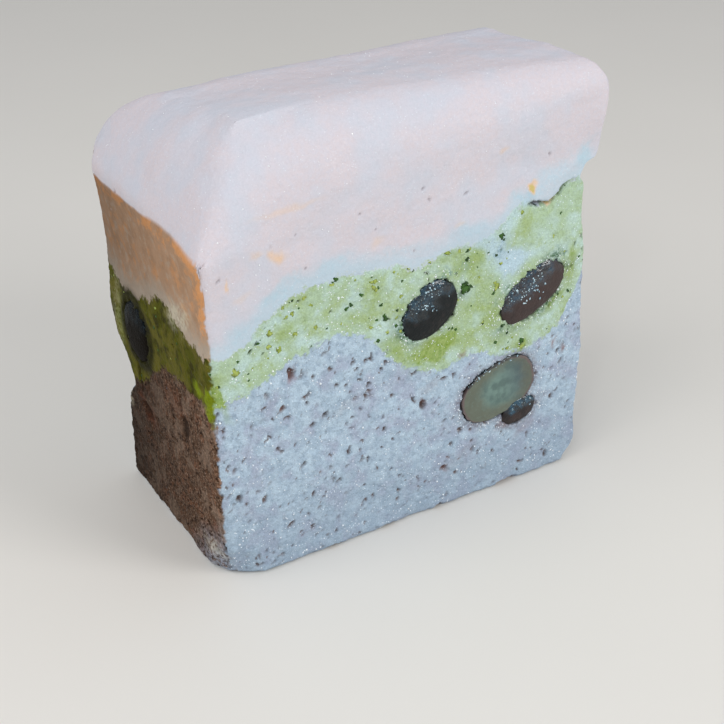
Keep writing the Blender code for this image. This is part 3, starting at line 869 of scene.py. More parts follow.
def crumbMaterial(name, relief):
    board = Board(name, crumbPaint)
    mark, lumps, layer = board.mark, board.lumps, board.layer
    overPink, overMauve = mark("overPink"), mark("overMauve")
    broad, wide = lumps(16.0), lumps(3.4, shift=0.5)
    middling, fine = lumps(1.5, 3.0), lumps(0.55, 3.0, shift=0.2)
    grit, tiny = lumps(0.3, shift=0.4), lumps(0.19, shift=1.1)
    wander = (lumps(2.4, 3.0, shift=0.8) - 0.5) * 3.0 + (fine - 0.5) * 2.2
    inPink = (overPink + wander).rise(-0.35, 0.35)
    inMauve = (overMauve + wander).rise(0.35, -0.35)
    inGreen = (1 - inPink) * (1 - inMauve)

    tint = (lumps(7.0, 3.0, 0.6, 1.3) * 0.7 + broad * 0.3).rise(0.42, 0.62)
    pink = layer("pinkWarm", (tint * 0.85, "pinkCool"), (fine.rise(0.4, 0.7) * 0.6, "pink"))
    yellowish = lumps(2.8, 4.0, 0.6, 0.9).rise(0.38, 0.72) * 0.8
    green = layer("green",
        (wide.rise(0.36, 0.62), "greenPale"),
        (yellowish * (1 - mark("mint") * 0.75), "greenYellow"),
        (fine.rise(0.5, 0.75) * 0.3, "greenPale"),
        (lumps(0.62, shift=1.9).rise(0.62, 0.76) * 0.5, "limePale"))
    mauve = layer("mauve",
        (middling.rise(0.40, 0.64), "mauvePale"),
        (wide.rise(0.44, 0.66) * 0.7, "mauveLilac"),
        (lumps(1.3, 1.0, shift=3.1).rise(0.5, 0.68) * 0.5, "mauvePale"),
        (lumps(0.8, 4.0, 0.6, 0.7).rise(0.52, 0.68) * 0.5, "mauveDeep"),
        (grit.rise(0.62, 0.72) * 0.4, "mauveDark"),
        # painted shade: the mauve darker towards the foot
        (mark("damp") * 0.5, "mauveDeep"))

    # what lies over the three crumbs: haze, darker crumb round the beans, pores and the hollows of the beans
    border = (overPink + wander).rise(3.6, 0.4) * inPink
    haze = (border * 0.75).high(mark("haze") * (0.4 + fine * 0.9))
    lime = mark("lime") * (0.35 + middling * 0.9) * (1 - inPink) * (1 - inMauve * 0.7)
    teal = mark("teal") * (fine * 0.5 + grit * 0.5).rise(0.42, 0.6) * (1 - inPink * 0.6)
    warm, stain, pore, ruddy = mark("warm"), mark("stain"), mark("pore"), mark("ruddy")
    patchy = fine.rise(0.35, 0.6) * 0.7 + grit.rise(0.4, 0.6) * 0.5
    blotch = wide.rise(0.42, 0.62) * 0.75 + 0.15
    poreColour = layer("poreGreen", (inPink, "porePink"), (inMauve, "poreMauve"), (ruddy.low(1.0), "ruddy"))
    colour = layer(green, (inPink, pink), (inMauve, mauve),
        (haze.low(0.95), "haze"),
        (lime.low(0.9), layer("lime", (fine.rise(0.3, 0.65), "limePale"))),
        (teal.low(1.0) * 0.75, "teal"),
        ((warm * (0.4 + fine * 0.8)).low(0.9), "peach"),
        (warm.rise(0.9, 1.6) * 0.9, "yellow"),
        # darker round the beans: dark green in the green crumb, darker mauve elsewhere
        ((stain ** 2.0 * patchy * blotch * inGreen).low(0.9), "stain"),
        ((stain ** 4.0 * patchy * (1 - inGreen) * 0.8).low(0.8), "mauveDark"),
        ((ruddy * (0.25 + fine * 0.9)).low(0.85), "ruddy"),
        # pores painted darker and browner: partly their own brown inside, partly painted shade in the hollow
        ((pore * (0.5 + fine)).low(0.9), poreColour),
        # painted shade: the sunk skin behind each bean is painted near-black
        (mark("socket"), "socket"))
    colour = board.shade(colour, 1 + ((tiny - 0.5) * 0.5 + (grit - 0.5) * 0.4) * (1 - inPink * 0.75))

    # painted highlights: white pinpoints where the wet crumb glints
    dotted = lumps(1.8, shift=2.3).rise(0.38, 0.6) * (1 - inPink * 0.6)
    colour = layer(colour, (board.crumbs(0.5, 2.1).rise(0.2, 0.1) * dotted, "dewWhite"))

    # the end face is painted as if in its own shade, with darker and warmer paints, a painted shade; the
    # warm light that comes through its edges is painted in as a glow
    frayed = (fine - 0.5) * 1.2 + (middling - 0.5) * 1.5
    edge, lip, inward = mark("edgeGlow"), mark("underLip"), mark("inward")
    # painted light: the warm glow along the end face's edges
    glow = (edge + frayed * edge.rise(0.02, 0.3)).rise(0.2, 0.9) * (0.6 + fine * 0.6)
    under = (lip + frayed * lip.rise(0.02, 0.3)).rise(0.25, 0.9) * (0.6 + fine * 0.6)
    glow, under = glow.low(0.85), under.low(0.85)
    endPink = layer("endPink",
        (wide.rise(0.4, 0.66) * 0.55, "endPinkDim"),
        (lumps(1.9, 3.0, shift=2.7).rise(0.5, 0.68) * 0.5, "endPinkGlow"),
        (middling.rise(0.5, 0.7) * 0.5, "endPinkGrey"),
        ((overPink + wander * 1.5).rise(5.4, 0.6) * 0.85, "endPinkGrey"),
        (glow.high(under), "endPinkGlow"))
    # painted shade: the end face's pink darker towards the back
    endPink = board.shade(endPink, 1.1 - inward * 0.55)
    endGreen = layer("endGreen",
        (middling.rise(0.4, 0.62), "endGreenDark"),
        (wide.rise(0.42, 0.6) * 0.7, "endGreenPale"),
        (glow * middling.rise(0.3, 0.6), "endGreenGlow"))
    # near the foot and the front edge, the end face's mauve is mixed towards the front's deeper mauve
    foot = (mark("damp") - inward * 1.6).rise(0.3, 0.9) * fine.rise(0.3, 0.6) * 0.5
    endMauve = layer("endMauve",
        (middling.rise(0.45, 0.65) * 0.6, "endMauveWarm"),
        (fine.rise(0.5, 0.36), "endMauveDark"),
        (grit.rise(0.54, 0.68) * 0.8, "endMauvePale"),
        (glow * fine, "endMauveGlow"),
        (lumps(3.4, shift=4.3).rise(0.5, 0.64) * 0.5, "endMauvePale"),
        (foot, "mauveDeep"))
    # painted shade and light: the end face's mauve lighter at the front and darker towards the back
    endMauve = board.shade(endMauve, 1.75 - inward * 1.4)
    limeEnd = mark("lime") + frayed * 0.8 * mark("lime").low(1.0)
    endColour = layer(endGreen, (inPink, endPink), (inMauve, endMauve),
        (mark("pale").low(1.0) * 0.7 * fine.rise(0.3, 0.6), "endPale"),
        (limeEnd.rise(0.15, 0.9) * 0.9, "endLime"),
        ((ruddy * fine).low(0.8), "endRuddy"),
        # the end face's pores painted dark: their brown and painted shade in the hollow
        ((pore * 0.9).low(0.85), "endPore"),
        # painted shade: the dark hollow round the side bean
        ((stain * 1.5).low(1.0) * 0.9 * (0.6 + fine * 0.6), "endShade"))
    uneven = 0.2 + (1 - inPink) * 0.3 + inMauve * 0.5
    mottle = 1 + ((middling - 0.5) * 0.8 + (fine - 0.5) * 0.8 + (grit - 0.5) * 0.8) * uneven
    colour = layer(colour, (mark("endFace"), board.shade(endColour, mottle)))

    height = fine * 0.7 + grit * 0.5 + board.crumbs(0.45, 0.3) * 0.3 + middling * 0.9 * (1 - inPink)
    coarse = board.bump(height, relief[0], 0.22)
    wet = grit.rise(0.55, 0.7) * lumps(2.6, shift=1.7).rise(0.40, 0.58)
    wet = (wet + stain * 0.6).low(1.0) * (1 - mark("endFace"))
    return board.surface({
        "Base Color": colour,
        "Roughness": 0.70 - wet * 0.45,
        "Specular IOR Level": 0.08,
        "Coat Weight": wet * (1 - inPink * 0.8),
        "Coat Roughness": 0.12,
        "Normal": board.bump(tiny, relief[1], 0.06, coarse),
    })


for layerName, bumps in {"mauve": (0.85, 0.7), "green": (0.7, 0.6), "pink": (0.22, 0.25)}.items():
    cakes[layerName + "Cake"].data.materials.append(crumbMaterial(layerName + "Crumb", bumps))
print("crumb painted")


# the beans

beanMake = {
    "segments": 120, "rings": 76, "wrinkle": 0.07, "crown": 0.62, "skin": (14, 20, 22),
    "skinBrown": (64, 52, 50), "skinBlack": (16, 12, 7), "film": (34, 76, 98), "sparkle": (196, 224, 232),
    "flesh": (76, 101, 96), "fleshPale": (104, 132, 124), "fleshBlue": (50, 68, 80),
    "fleshOlive": (88, 92, 76), "rim": (84, 68, 66),
}


def ballMesh(name):
    # a unit ball, ring by ring; its faces are always in the same order, which the dew glints follow
    rings, segments = beanMake["rings"], beanMake["segments"]
    rise = np.linspace(-math.pi / 2, math.pi / 2, rings + 1)[1:-1, None]
    turn = np.arange(segments) * 2 * math.pi / segments
    x, y, z = np.broadcast_arrays(np.cos(rise) * np.cos(turn), np.cos(rise) * np.sin(turn), np.sin(rise))
    points = np.stack([x, y, z], axis=-1).reshape(-1, 3)
    faces = stackFaces(rings - 1, segments)
    below, above, last = len(points), len(points) + 1, (rings - 2) * segments
    for i in range(segments):
        after = (i + 1) % segments
        faces += [(after, i, below), (last + i, last + after, above)]
    data = bpy.data.meshes.new(name)
    data.from_pydata(points.tolist() + [(0, 0, -1), (0, 0, 1)], [], faces)
    return data


def beanPiece(name, bean):
    # an egg-like ball a little flatter below, with fine wrinkles; the cut one is sliced flat
    data = ballMesh(name)
    ball = readPoints(data)
    half = np.array(bean["half"])
    plump = 1.0 + 0.06 * ball[:, 0] - 0.05 * (1 - ball[:, 0] ** 2) * np.maximum(-ball[:, 2], 0)
    blunt = bean["blunt"]
    round2 = np.hypot(ball[:, 0], ball[:, 2]) + 1e-9
    fuller = round2 / ((np.abs(ball[:, 0]) ** blunt + np.abs(ball[:, 2]) ** blunt) ** (1 / blunt) + 1e-9)
    points = ball * half * np.stack([fuller, np.ones(len(ball)), fuller], axis=1)
    points[:, 2] *= plump
    normals = ball / half
    normals /= np.linalg.norm(normals, axis=1)[:, None]
    seed = bean["seed"]
    creases = 1 - np.abs(grain(points * np.array([0.6, 1.0, 1.0]), 1.5, seed))
    push = -beanMake["wrinkle"] * (creases ** 4) * 1.6
    push += 0.06 * grain(points, 1.0, seed + 1) + 0.04 * grain(points, 0.45, seed + 2) - 0.06
    points = points + normals * push[:, None]
    # widest where it passes the face of the cake, with a low crown in front
    axis = 0 if name == "bean_side" else 1
    sunk, deep = bean["centre"][axis], bean["half"][axis]
    along1 = points[:, axis] / deep
    crown = (deep - sunk) * beanMake["crown"]
    points[:, axis] = np.where(along1 < 0, along1 * crown, along1 * (deep + sunk)) - sunk
    lean = math.radians(bean["tilt"])
    across = points[:, 0] * math.cos(lean) - points[:, 2] * math.sin(lean)
    upright = points[:, 0] * math.sin(lean) + points[:, 2] * math.cos(lean)
    rim = (np.abs(points[:, 0] / half[0]) ** blunt + np.abs(points[:, 2] / half[2]) ** blunt) ** (1 / blunt)
    points = np.stack([across, points[:, 1], upright], axis=1) + np.array(bean["centre"])
    face = np.zeros(len(points))
    if name == "bean_cut":
        level = cutFace + 0.05 * (1 - easeIn(rim, 0.8, 0.95)) + 0.03 * grain(points, 0.9, 17)
        face = (points[:, 1] <= level + 1e-4).astype(float)
        points[:, 1] = np.maximum(points[:, 1], level)
    data.vertices.foreach_set("co", toFrame(points).ravel())
    # the side that faces the lights is glossier and carries the painted reflection, the painted highlight
    # sparks and the dew glints
    glintTurn = math.radians(bean["glintTurn"])
    upLeft = ball[:, 2] * math.sin(glintTurn) + ball[:, 0] * math.cos(glintTurn)
    upLeft = upLeft + 0.4 * grain(points, 1.6, seed + 3)
    wetSide = easeIn(upLeft, -0.05, 0.6)
    long, high, reach = bean["spot"]
    spot = np.exp(-((ball[:, 0] - long) ** 2 + (ball[:, 2] - high) ** 2) / max(reach, 1e-3) ** 2)
    if name == "bean_cut":
        wetSide = easeIn(upLeft, 0.5, 0.9) * easeIn(rim, 0.84, 0.9)
        spot = np.maximum(spot, 0.5) * wetSide
    room = (spot + 0.1 * wetSide * (reach > 0)) * easeIn(grain(points, 1.1, seed + 4), -0.25, 0.3)
    room *= ball[:, 1] < 0.1
    store(data, {"cutFlat": face, "rim": rim, "wetSide": wetSide, "lengthwise": ball[:, 0],
                 "tone": np.full(len(ball), bean["tone"]), "sheen": np.full(len(ball), bean["sheen"]),
                 "dewGlintRoom": room})
    data.shade_smooth()
    data.update()
    piece = newPiece(name.replace("bean_", "bean") + "_detailed", data)
    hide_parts(name)
    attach(piece, "root")
    return piece


def beanSkinMaterial(name, shine):
    board = Board(name, beanMake)
    fine, middling = board.lumps(0.4, 3.0), board.lumps(1.4, 3.0, shift=0.3)
    wet, tone, sheen = board.mark("wetSide"), board.mark("tone"), board.mark("sheen")
    brown = (tone + (middling - 0.5) * 1.2 - wet * 0.3).rise(0.0, 1.0)
    patchy = (middling * 0.6 + fine * 0.4).rise(0.42, 0.62)
    sparks = board.crumbs(0.36, 0.7).rise(0.26, 0.12) * (wet * 1.2 + middling * 1.6 - 1.5).rise(0.1, 0.4)
    # painted reflection and painted highlights: a blue sheet of reflected sky and white sparks on the lit
    # wet side
    colour = board.layer("skin", (brown, "skinBrown"),
                         ((wet * sheen * (0.1 + patchy * 0.75)).low(0.9), "film"),
                         (sparks * sheen.low(1.0) * 0.7, "sparkle"),
                         # painted shade: a tone below zero paints the side bean near-black
                         (tone.rise(-0.1, -0.5) * (1 - wet * 0.35), "skinBlack"))
    glint = board.lumps(0.22, shift=0.6)
    return board.surface({
        "Base Color": colour,
        "Roughness": 0.5 - wet * 0.2 + fine * 0.15,
        "Specular IOR Level": shine,
        "Coat Weight": ((0.05 + wet * 1.1) * glint.rise(0.3, 0.55) * tone.rise(-0.5, 0.1)).low(1.0),
        "Coat Roughness": 0.07,
        "Normal": board.bump(fine * 0.7 + glint * (0.2 + wet * 1.2), 1.0, 0.2),
    })


def cutBeanMaterial():
    board = Board("cutBean", beanMake)
    fine, middling = board.lumps(0.5, 3.0), board.lumps(1.8, 3.0, shift=0.3)
    flat, rim, wet = board.mark("cutFlat"), board.mark("rim"), board.mark("wetSide")
    lengthwise = board.mark("lengthwise")
    low = (0.2 - lengthwise).rise(-0.2, 0.8) * 0.3
    flesh = board.layer("flesh", (middling.rise(0.36, 0.64), "fleshPale"),
                        ((lengthwise + (middling - 0.5) * 0.5).rise(0.0, 0.9) * 0.85, "fleshBlue"),
                        ((rim + low + (middling - 0.5) * 0.6).rise(0.5, 1.0) * 0.85, "fleshOlive"),
                        (fine.rise(0.5, 0.75) * 0.25, "fleshPale"))
    skinOnly = (rim + wet * 0.04 + (fine - 0.5) * 0.10).rise(0.91, 0.96)
    skin = board.layer("rim", ((wet * 1.4 + middling - 0.5).rise(0.3, 0.8), "skin"),
                       # painted highlights: white sparks on the rim's lit wet side
                       (board.crumbs(0.42, 0.7).rise(0.22, 0.12) * wet, "sparkle"))
    return board.surface({
        "Base Color": board.mix(skinOnly.high((1 - flat) * rim.rise(0.9, 0.95)), flesh, skin),
        "Roughness": 0.5 - skinOnly * 0.2,
        "Coat Weight": 0.25 + skinOnly * 0.7,
        "Coat Roughness": 0.15,
        "Normal": board.bump(fine * 0.5 + board.lumps(0.2) * 0.3, 0.45, 0.1),
    })


# the side bean in the end face's shade gets its own copy of the skin, near-black with almost no specular:
# painted shade
beanMaterials = {"bean_cut": cutBeanMaterial(), "bean_side": beanSkinMaterial("beanInShade", 0.03)}
skinMaterial = beanSkinMaterial("beanSkin", 0.25)
beanPieces = []
for beanName, beanShape in beans.items():
    beanPieces.append(beanPiece(beanName, beanShape))
    beanPieces[-1].data.materials.append(beanMaterials.get(beanName, skinMaterial))
print("beans made")


# loose bits in the crumb, scattered over it with Geometry Nodes

# the dew glints are near-white glossy lumps that stand for the glints of the wet crumb and the beans' wet
# skin: painted highlights
bits = {
    "teaFlecks": {"on": "greenCake", "density": 1.1e5, "sizes": (0.08, 0.24), "flatness": 0.3, "seed": 4},
    "yellowBits": {"on": "greenCake", "density": 5.0e4, "sizes": (0.10, 0.3), "flatness": 0.12, "seed": 9},
    "dewGlintsOnGreen": {"on": "greenCake", "density": 1.8e6, "sizes": (0.03, 0.13), "flatness": 0.6, "seed": 12},
    "dewGlintsOnMauve": {"on": "mauveCake", "density": 1.3e6, "sizes": (0.03, 0.14), "flatness": 0.6, "seed": 14},
    "dewGlintsOnPink": {"on": "pinkCake", "density": 5.0e5, "sizes": (0.03, 0.09), "flatness": 0.6, "seed": 16},
    "dewGlintsOnBeans": {"on": "beans", "density": 5.5e6, "sizes": (0.04, 0.18), "flatness": 0.6, "seed": 18},
}

# the larger bits that show on the front: place along, height, half size
largeBits = {
    "largeTeaFlecks": [
        (18.9, 43.8, 0.34), (18.4, 43.5, 0.2), (21.3, 39.3, 0.36), (20.7, 38.9, 0.26),
        (23.0, 40.4, 0.34), (26.7, 35.9, 0.38), (26.3, 36.4, 0.22), (39.7, 36.9, 0.8), (40.4, 36.6, 0.6),
        (39.9, 37.5, 0.5), (40.2, 41.1, 0.34), (40.0, 42.5, 0.22), (45.9, 43.3, 0.42),
        (46.3, 42.8, 0.26), (44.7, 34.8, 0.36), (50.2, 25.2, 0.4), (7.1, 37.6, 0.24), (4.0, 35.8, 0.2),
        (26.0, 38.2, 0.28), (25.5, 40.9, 0.22), (17.5, 36.9, 0.18), (14.8, 34.9, 0.16),
        (24.4, 42.6, 0.18), (31.0, 42.0, 0.22), (56.3, 44.6, 0.26), (38.3, 39.4, 0.2),
        (41.9, 39.6, 0.18), (43.6, 41.3, 0.2), (29.2, 40.8, 0.2), (28.4, 36.6, 0.2), (46.6, 29.2, 0.24),
        (37.9, 31.0, 0.22),
    ],
    "largeYellowBits": [
        (18.4, 43.1, 0.34), (24.5, 41.9, 0.34), (24.8, 41.2, 0.42), (25.1, 40.6, 0.26),
        (24.2, 35.0, 0.36), (3.7, 34.4, 0.5), (10.4, 35.7, 0.44), (8.6, 36.6, 0.4), (14.2, 42.2, 0.36),
        (15.0, 41.0, 0.3), (12.3, 40.4, 0.34), (11.4, 40.2, 0.24), (15.5, 37.5, 0.3), (36.6, 43.9, 0.5),
        (40.5, 42.8, 0.3), (45.3, 35.6, 0.42), (44.9, 36.4, 0.3), (50.5, 24.2, 0.44), (47.7, 24.9, 0.3),
        (9.0, 38.6, 0.4), (6.2, 34.2, 0.22), (12.7, 37.4, 0.3), (38.6, 35.2, 0.36), (43.0, 30.6, 0.3),
        (33.6, 43.4, 0.3), (30.4, 43.0, 0.24), (42.3, 37.8, 0.26), (57.3, 38.2, 0.34),
        (55.2, 41.3, 0.26), (26.9, 33.6, 0.3), (29.0, 38.6, 0.24), (19.8, 36.8, 0.22),
    ],
}


def bitTree(name, material, scattered):
    # turns the points scattered over a surface, or the points it is given, into flattened lumps
    tree = bpy.data.node_groups.new(name, "GeometryNodeTree")
    tree.interface.new_socket("Geometry", in_out="INPUT", socket_type="NodeSocketGeometry")
    for title in ("Density", "Smallest", "Largest", "Flatness"):
        tree.interface.new_socket(title, in_out="INPUT", socket_type="NodeSocketFloat")
    tree.interface.new_socket("Seed", in_out="INPUT", socket_type="NodeSocketInt")
    tree.interface.new_socket("Room", in_out="INPUT", socket_type="NodeSocketString")
    tree.interface.new_socket("Geometry", in_out="OUTPUT", socket_type="NodeSocketGeometry")

    def node(kind, settings=None, links=None):
        made = tree.nodes.new(kind)
        for key, value in (settings or {}).items():
            setattr(made, key, value)
        for key, value in (links or {}).items():
            if isinstance(value, bpy.types.NodeSocket):
                tree.links.new(value, made.inputs[key])
            else:
                made.inputs[key].default_value = value
        return made

    def sums(kind, operation, first, second):
        # what scales a vector goes into the fourth socket
        made = node(kind, {"operation": operation}, {0: first, 3 if operation == "SCALE" else 1: second})
        return made.outputs[0]

    given = node("NodeGroupInput").outputs
    room = node("GeometryNodeInputNamedAttribute", {"data_type": "FLOAT"}, {"Name": given["Room"]})
    if scattered:
        density = sums("ShaderNodeMath", "MULTIPLY", given["Density"], room.outputs[0])
        spread = node("GeometryNodeDistributePointsOnFaces", {"distribute_method": "RANDOM"},
                      {"Mesh": given["Geometry"], "Density": density, "Seed": given["Seed"]})
        points, rotation = spread.outputs["Points"], spread.outputs["Rotation"]
        size = node("FunctionNodeRandomValue", {"data_type": "FLOAT"},
                    {2: given["Smallest"], 3: given["Largest"], "Seed": given["Seed"]}).outputs[1]
    else:
        facing = node("GeometryNodeInputNamedAttribute", {"data_type": "FLOAT_VECTOR"}, {"Name": "facing"})
        aligned = node("FunctionNodeAlignRotationToVector", {"axis": "Z"}, {"Vector": facing.outputs[0]})
        points, rotation = given["Geometry"], aligned.outputs[0]
        size = room.outputs[0]
    pebble = node("GeometryNodeMeshIcoSphere", None, {"Radius": 1.0, "Subdivisions": 1 if scattered else 2})
    lump = node("ShaderNodeTexNoise", {"noise_dimensions": "3D"}, {"Scale": 1.6, "Detail": 2.0})
    shift = sums("ShaderNodeVectorMath", "SUBTRACT", lump.outputs["Color"], (0.5, 0.5, 0.5))
    shift = sums("ShaderNodeVectorMath", "SCALE", shift, 3.6)
    dent = node("GeometryNodeSetPosition", None, {"Geometry": pebble.outputs["Mesh"], "Offset": shift})
    skew = node("FunctionNodeRandomValue", {"data_type": "FLOAT"}, {2: 0.5, 3: 1.4, "Seed": 77})
    long = sums("ShaderNodeMath", "MULTIPLY", size, skew.outputs[1])
    thin = sums("ShaderNodeMath", "MULTIPLY", size, given["Flatness"])
    scale = node("ShaderNodeCombineXYZ", None, {0: long, 1: size, 2: thin})
    metres = sums("ShaderNodeVectorMath", "SCALE", scale.outputs[0], mm)
    spin = node("FunctionNodeRandomValue", {"data_type": "FLOAT"}, {2: 0.0, 3: 6.28, "Seed": 31})
    twist = node("ShaderNodeCombineXYZ", None, {2: spin.outputs[1]})
    turned = node("FunctionNodeRotateRotation", {"rotation_space": "LOCAL"},
                  {0: rotation, 1: twist.outputs[0]})
    placed = node("GeometryNodeInstanceOnPoints", None, {
        "Points": points, "Instance": dent.outputs["Geometry"],
        "Rotation": turned.outputs[0], "Scale": metres})
    real = node("GeometryNodeRealizeInstances", None, {"Geometry": placed.outputs[0]})
    dressed = node("GeometryNodeSetMaterial", None, {"Geometry": real.outputs[0], "Material": material})
    smooth = node("GeometryNodeSetShadeSmooth", None, {0: dressed.outputs[0]})
    node("NodeGroupOutput", None, {0: smooth.outputs[0]})
    return tree


def growBits(name, values, room, carrier, material, scattered):
    tree = bitTree(name + "Tree", material, scattered)
    modifier = carrier.modifiers.new("bits", "NODES")
    modifier.node_group = tree
    given = {item.name: item.identifier for item in tree.interface.items_tree if item.in_out == "INPUT"}
    smallest, largest = values["sizes"]
    inputs = {"Density": values["density"], "Smallest": smallest, "Largest": largest,
              "Flatness": values["flatness"], "Seed": values["seed"], "Room": room}
    for title, value in inputs.items():
        modifier[given[title]] = value
    bpy.context.view_layer.update()
    evaluated = carrier.evaluated_get(bpy.context.evaluated_depsgraph_get())
    mesh = bpy.data.meshes.new_from_object(evaluated)
    mesh.name = name
    carrier.modifiers.remove(modifier)
    bpy.data.objects.remove(carrier, do_unlink=True)
    # nothing of a bit stands outside the solids' box
    places = np.clip(readPoints(mesh), *np.array(cadBox))
    mesh.vertices.foreach_set("co", places.ravel())
    piece = newPiece(name, mesh)
    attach(piece, "root")
    print(name, len(mesh.polygons), "faces")


def settleBits(name, spots, values, ground, material):
    # each bit lies on the nearest point of the front of the cake
    places, facings = readPoints(ground), readPoints(ground, "normal")
    front = np.flatnonzero(facings[:, 1] < -0.3)
    chosen = []
    for across, height, _ in spots:
        target = np.array([(across - slab["middle"][0]) * mm, height * mm])
        chosen.append(front[np.argmin(np.sum((places[front][:, [0, 2]] - target) ** 2, axis=1))])
    carried = bpy.data.meshes.new(name + "Spots")
    carried.from_pydata(places[chosen].tolist(), [], [])
    store(carried, {"spotSize": np.array([size for _, _, size in spots])})
    layer = carried.attributes.new("facing", "FLOAT_VECTOR", "POINT")
    layer.data.foreach_set("vector", facings[chosen].ravel().astype(np.float32))
    growBits(name, values, "spotSize", newPiece(name + "Carrier", carried), material, False)


def markRoom(piece):
    # where flecks and the dew glints, which are painted highlights, may lie: on the open skin of the piece,
    # away from sockets and seams
    mesh = piece.data
    count = len(mesh.vertices)
    read = {}
    for title in ("overPink", "overMauve", "socket", "pore", "endFace", "stain"):
        read[title] = np.empty(count, np.float32)
        mesh.attributes[title].data.foreach_get("value", read[title])
    places = readPoints(mesh) / mm
    skinOnly = (np.abs(read["overPink"]) + np.abs(read["overMauve"]) > 0.3) * (1 - read["socket"])
    clusters = easeIn(grain(places, 5.0, 21), -0.25, 0.35)
    fleck = skinOnly * (1 - read["pore"]) * (0.15 + 0.85 * clusters) * (1 - 0.6 * read["endFace"])
    fleck *= easeIn(read["overPink"], 0.2, -0.7) * easeIn(read["overMauve"], 0.2, 1.0)
    calmCorner = easeIn(places[:, 0], 16.0, 21.0) * easeIn(places[:, 2], 36.0, 40.0)
    fleck *= 1 - 0.85 * calmCorner
    dew = 0.12 + 0.88 * easeIn(grain(places, 2.6, 22) + 0.6 * grain(places, 1.1, 27), 0.1, 0.7)
    dew = np.maximum(dew, 0.9 * easeIn(read["stain"], 0.25, 0.6))
    dew *= skinOnly * (1 - read["endFace"]) * (1 - 0.7 * calmCorner)
    store(mesh, {"fleckRoom": fleck, "dewGlintRoom": dew})


def bitMaterial(name, dark, light, rough, coat):
    board = Board(name, {"dark": dark, "light": light})
    speckle = board.lumps(2.2, shift=0.4).rise(0.35, 0.65)
    return board.surface({
        "Base Color": board.layer("dark", (speckle, "light"), (board.lumps(0.5) * 0.4, "light")),
        "Roughness": rough,
        "Coat Weight": coat,
        "Coat Roughness": 0.1,
        "Normal": board.bump(board.lumps(0.12), 0.5, 0.04),
    })


bitMaterials = {
    "teaFlecks": bitMaterial("teaLeaf", (10, 46, 12), (50, 94, 18), 0.7, 0.1),
    "yellowBits": bitMaterial("yellowBean", (128, 148, 42), (162, 178, 86), 0.6, 0.2),
    # painted highlights: the dew glints' near-white paints
    "dewGlintsOnGreen": bitMaterial("dewGlintGreen", (220, 236, 236), (246, 252, 254), 0.12, 1.0),
    "dewGlintsOnMauve": bitMaterial("dewGlintMauve", (214, 226, 240), (244, 250, 254), 0.12, 1.0),
    "dewGlintsOnPink": bitMaterial("dewGlintPink", (236, 238, 246), (248, 252, 254), 0.12, 1.0),
    "dewGlintsOnBeans": bitMaterial("dewGlintBean", (84, 128, 150), (196, 222, 234), 0.12, 1.0),
}
for cake in cakes.values():
    markRoom(cake)
# all the beans in one loose mesh, only to scatter the dew glints over
allBeans = fillMesh("joinedBeans", lambda grown: [grown.from_mesh(piece.data) for piece in beanPieces])
grounds = {"beans": allBeans, **{title: cake.data for title, cake in cakes.items()}}
for bitName, bitValues in bits.items():
    carrier = newPiece(bitName + "Carrier", grounds[bitValues["on"]].copy())
    room = "dewGlintRoom" if bitName.startswith("dew") else "fleckRoom"
    growBits(bitName, bitValues, room, carrier, bitMaterials[bitName], True)
for bitName, small in {"largeTeaFlecks": "teaFlecks", "largeYellowBits": "yellowBits"}.items():
    settleBits(bitName, largeBits[bitName], bits[small], grounds["greenCake"], bitMaterials[small])


# floor, light and camera

stageValues = {
    "floor": (226, 223, 218),
    "floorSize": 1.2,
    "lightTarget": (0.0, 0.0, 0.035),
    "skyColour": (0.95, 0.968, 0.988, 1.0),
    "skyStrength": 0.53,
}

# place, width, power and colour
lamps = {
    "key": ((0.26, -0.40, 0.26), 0.26, 1.27, (1.0, 0.985, 0.965)),
    "leftFill": ((-0.30, -0.06, 0.34), 0.40, 0.75, (1.0, 0.985, 0.975)),
    "spark": ((-0.22, -0.24, 0.30), 0.05, 0.16, (0.92, 0.98, 1.0)),
}

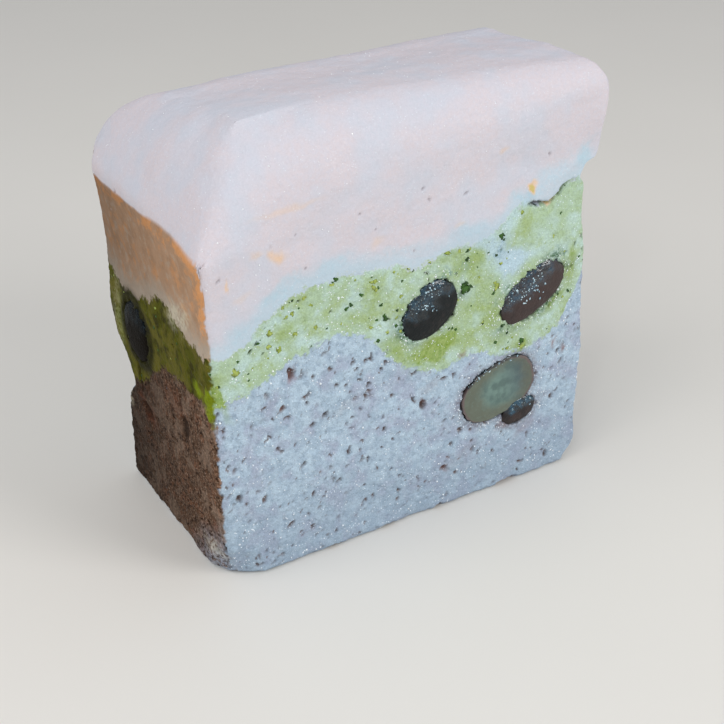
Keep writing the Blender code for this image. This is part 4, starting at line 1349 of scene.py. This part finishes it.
# to the left of the front face and above it, with a slight roll
cameraValues = {
    "place": (-0.0862, -0.1528, 0.1197),
    "forward": (0.4344, 0.7503, -0.4983),
    "right": (0.8654, -0.5010, 0.0),
    "roll": -1.0885,
    "lens": 64.64,
}


def makeFloor():
    size = {"x_segments": 24, "y_segments": 24, "size": stageValues["floorSize"]}
    data = fillMesh("paleFloor", lambda grown: bmesh.ops.create_grid(grown, **size))
    board = Board("paleFloorPaint")
    light = paint(*stageValues["floor"])
    dim = tuple(value * 0.96 for value in light[:3]) + (1.0,)
    colour = board.mix(board.lumps(60.0, 3.0), light, dim)
    normal = board.bump(board.lumps(2.0, 3.0), 0.1, 0.1)
    data.materials.append(board.surface({"Base Color": colour, "Roughness": 0.6, "Normal": normal}))
    newPiece("paleFloor", data)


def makeLight(name, place, width, power, colour):
    lamp = bpy.data.lights.new(name, "AREA")
    lamp.shape = "DISK"
    lamp.size = width
    lamp.energy = power
    lamp.color = colour
    direction = (Vector(stageValues["lightTarget"]) - Vector(place)).normalized()
    turn = direction.to_track_quat("-Z", "Y").to_matrix().to_4x4()
    newPiece(name, lamp).matrix_world = Matrix.Translation(place) @ turn


def makeCamera():
    forward = Vector(cameraValues["forward"]).normalized()
    right = Vector(cameraValues["right"]).normalized()
    up = right.cross(forward)
    roll = math.radians(cameraValues["roll"])
    across = right * math.cos(roll) + up * math.sin(roll)
    upright = up * math.cos(roll) - right * math.sin(roll)
    lens = bpy.data.cameras.new("camera")
    lens.sensor_width = 36.0
    lens.lens = cameraValues["lens"]
    lens.clip_start = 0.001
    item = newPiece("camera", lens)
    turn = Matrix((across, upright, -forward)).transposed().to_4x4()
    item.matrix_world = Matrix.Translation(cameraValues["place"]) @ turn
    bpy.context.scene.camera = item


makeFloor()
for lampName, lampValues in lamps.items():
    makeLight(lampName, *lampValues)
makeCamera()
world = bpy.data.worlds.new("softSky")
world.use_nodes = True
world.node_tree.nodes["Background"].inputs[0].default_value = stageValues["skyColour"]
world.node_tree.nodes["Background"].inputs[1].default_value = stageValues["skyStrength"]
bpy.context.scene.world = world
bpy.context.scene.view_settings.view_transform = "Standard"
print("stage set")
